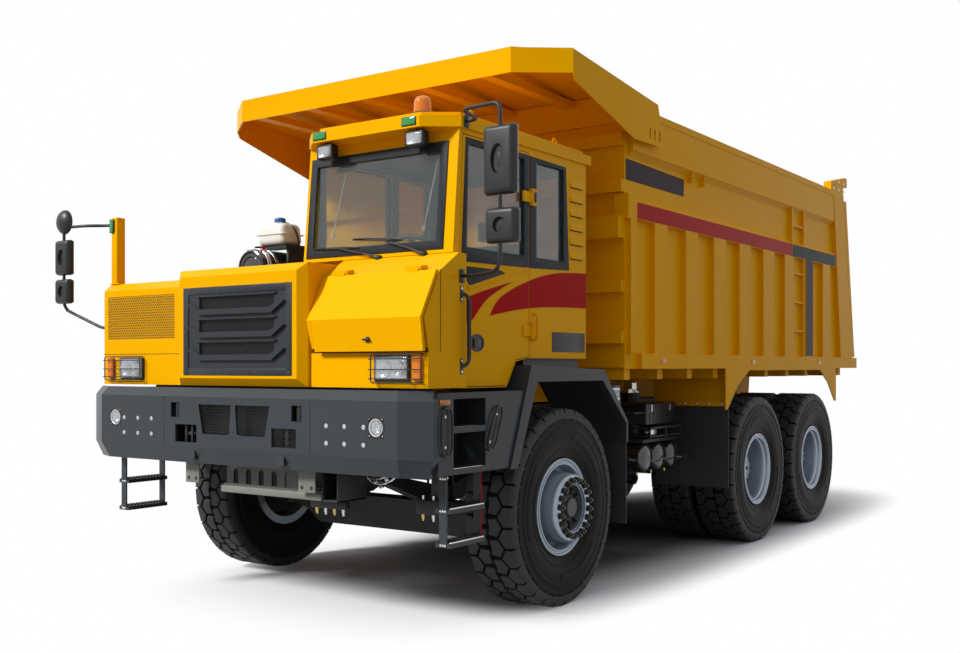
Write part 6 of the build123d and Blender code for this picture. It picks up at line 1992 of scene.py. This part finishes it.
# %% Seat frame
piping = [(0.79, -0.575, 2.255), (1.25, -0.575, 2.255), (1.25, -0.115, 2.255), (0.79, -0.115, 2.255)]
bellow = add_box("seat_bellow", (0.83, -0.535, 0), (1.21, -0.125, 0.034), 0.014, 3, seal_rubber)
seat_parts = [
    add_tube("squab_piping", piping, 0.0045, 0.05, 8, 5, loop=True, paint=trim_plastic),
    add_box("seat_pan", (0.79, -0.575, 2.15), (1.25, -0.095, 2.198), 0.01, 3, black_plastic),
    add_box("back_shell", (0.8, 0.022, 2.24), (1.24, 0.052, 2.745), 0.012, 3, black_plastic),
    add_box("seat_foot", (0.82, -0.54, 1.902), (1.22, -0.12, 1.95), 0.008, 3, black_plastic),
    repeat(bellow, [Vector((0, 0, 1.948 + n * 0.034)) for n in range(6)]),
]
for x in (0.965, 1.075):
    seat_parts.append(
        add_bar("headrest_rod", (x, -0.03, 2.74), (x, -0.03, 2.83), 0.007, 12, paint=bright_steel),
    )
for x in (0.735, 1.245):
    seat_parts.append(
        add_box("seat_armrest", (x, -0.42, 2.47), (x + 0.05, -0.08, 2.52), 0.016, 3, black_plastic),
    )
seat = dress(joined("seat_frame", seat_parts), "root")
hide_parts("driver_seat")

# %% [markdown]
# ## Air cleaner and coolant tank
# The air cleaner is one turned shape: a pressed end cover with rings, a bright clamp with two
# latches, and a long black drum in two saddles. The plain patch on its side is a slice of a
# thin ring. The coolant tank is a rounded moulding on a dark bracket, with a neck and a cap.

# %% Air cleaner
cleaner_place = Vector((-0.42, 0, 2.57))
cover_profile = [
    (0, -1.238), (0.03, -1.24), (0.078, -1.236), (0.084, -1.23), (0.09, -1.236), (0.112, -1.24),
    (0.118, -1.232),
    (0.126, -1.244), (0.137, -1.24), (0.145, -1.222), (0.149, -1.2), (0.149, -1.188), (0, -1.188),
]
drum_profile = [
    (0, -1.19), (0.146, -1.19), (0.148, -1.16), (0.148, -0.86), (0.1465, -0.857), (0.1465, -0.843),
    (0.148, -0.84), (0.148, -0.57), (0.14, -0.538), (0.11, -0.524), (0, -0.52),
]
clamp_profile = [
    (0.1485, -1.197), (0.1545, -1.194), (0.1545, -1.182), (0.1515, -1.18), (0.1515, -1.172), (0.1545, -1.17),
    (0.1545, -1.16), (0.1485, -1.157),
]
patch_profile = [(0.1484, -0.78), (0.1492, -0.78), (0.1492, -0.6), (0.1484, -0.6)]
knob_profile = [(0, 0.03), (0.012, 0.028), (0.016, 0.018), (0.016, 0), (0, 0)]
cleaner_parts = [
    add_turned("cleaner_cover", cover_profile, cleaner_place, "y", 64, paint=tank_gloss),
    add_turned("cleaner_drum", drum_profile, cleaner_place, "y", 64, paint=tank_gloss),
    add_turned("cleaner_clamp", clamp_profile, cleaner_place, "y", 64, paint=bright_steel),
]
patch = add_turned("plain_patch", patch_profile, cleaner_place, "y", 64, paint=trim_plastic)
for normal in ((0.35, 0, -1), (-1, 0, 0.2)):
    sliced(patch, cleaner_place, normal)
cleaner_parts.append(patch)
for angle in (62, 118):
    lean = Vector((math.cos(math.radians(angle)), 0, math.sin(math.radians(angle))))
    start = cleaner_place + Vector((0, -1.2, 0)) + lean * 0.153
    end = start + Vector((0, 0.06, 0)) + lean * 0.006
    cleaner_parts += [
        add_bar("cover_latch", start, end, 0.007, 8, paint=bright_steel),
        add_bar("latch_hook", start - lean * 0.006, start + lean * 0.013, 0.009, 12, paint=bright_steel),
    ]
knob_place = cleaner_place + Vector((0.02, -1.13, 0.146))
cleaner_parts.append(add_turned("service_knob", knob_profile, knob_place, "z", 20, paint=band_red))
saddle = [
    (-0.565, 2.4), (-0.275, 2.4), (-0.275, 2.415), (-0.3, 2.455), (-0.33, 2.478), (-0.51, 2.478),
    (-0.54, 2.455), (-0.565, 2.415),
]
for back in (-1.095, -0.695):
    strap = [(0.1482, back - 0.016), (0.1506, back - 0.015), (0.1506, back + 0.015), (0.1482, back + 0.016)]
    cleaner_parts += [
        add_plate("cleaner_saddle", saddle, "y", back - 0.024, back + 0.024, 0.003, paint=frame_black),
        add_turned("cleaner_strap", strap, cleaner_place, "y", 64, paint=bright_steel),
    ]
elbow_line = [(-0.42, -0.54, 2.57), (-0.42, -0.455, 2.57), (-0.4, -0.42, 2.51), (-0.4, -0.42, 2.398)]
cleaner_parts.append(add_tube("air_elbow", elbow_line, 0.058, 0.07, 24, 5, paint=seal_rubber))
cleaner = dress(joined("air_cleaner_drum", cleaner_parts), "root")
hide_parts("air_cleaner")

# %% Coolant tank
tank_middle = Vector((-0.43, -0.915, 2.765))
moulding = add_box("tank_moulding", (-0.58, -1.03, 2.765), (-0.28, -0.8, 2.94), paint=tank_white)
soften(tapered(moulding, lambda centre, normal: normal.z > 0.9, (0.9, 0.9, 1), tank_middle), 0.045, 6)
neck_profile = [(0, 0.16), (0.05, 0.16), (0.05, 0.168), (0.037, 0.174), (0.035, 0.208), (0, 0.208)]
cap_profile = [(0, 0.228), (0.03, 0.227), (0.04, 0.222), (0.043, 0.212), (0.043, 0.192), (0, 0.192)]
cap_turns = [Matrix.Rotation(n * math.tau / 18, 4, "Z") for n in range(18)]
cap_rib = add_box("cap_rib", (0.0405, -0.0025, 0.194), (0.045, 0.0025, 0.216), 0.001, paint=cap_blue)
overflow = [
    tank_middle + Vector(step) for step in
    ((0.036, 0, 0.19), (0.11, 0, 0.18), (0.185, 0.02, 0.09), (0.18, 0.03, -0.09), (0.15, 0.03, -0.35))
]
tank_set = [
    moulding,
    add_box("tank_seam", (-0.583, -1.033, 2.847), (-0.277, -0.797, 2.855), 0.003, 3, tank_white),
    add_turned("tank_neck", neck_profile, tank_middle, "z", 32, paint=tank_white),
    add_turned("tank_cap", cap_profile, tank_middle, "z", 32, paint=cap_blue),
    repeat(cap_rib, [Matrix.Translation(tank_middle) @ turn for turn in cap_turns]),
    add_tube("overflow_pipe", overflow, 0.008, 0.08, 10, 5, paint=frame_black),
]
for start, end in (
    ((-0.6, -1.03, 2.722), (-0.245, -1.015, 2.765)), ((-0.6, -1.03, 2.75), (-0.245, -0.8, 2.765)),
    ((-0.6, -1.03, 2.64), (-0.575, -0.98, 2.755)), ((-0.262, -1.015, 2.4), (-0.24, -0.8, 2.755)),
):
    tank_set.append(add_box("tank_bracket", start, end, 0.003, paint=frame_black))
coolant = dress(joined("coolant_tank_moulding", tank_set), "root")
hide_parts("coolant_tank")
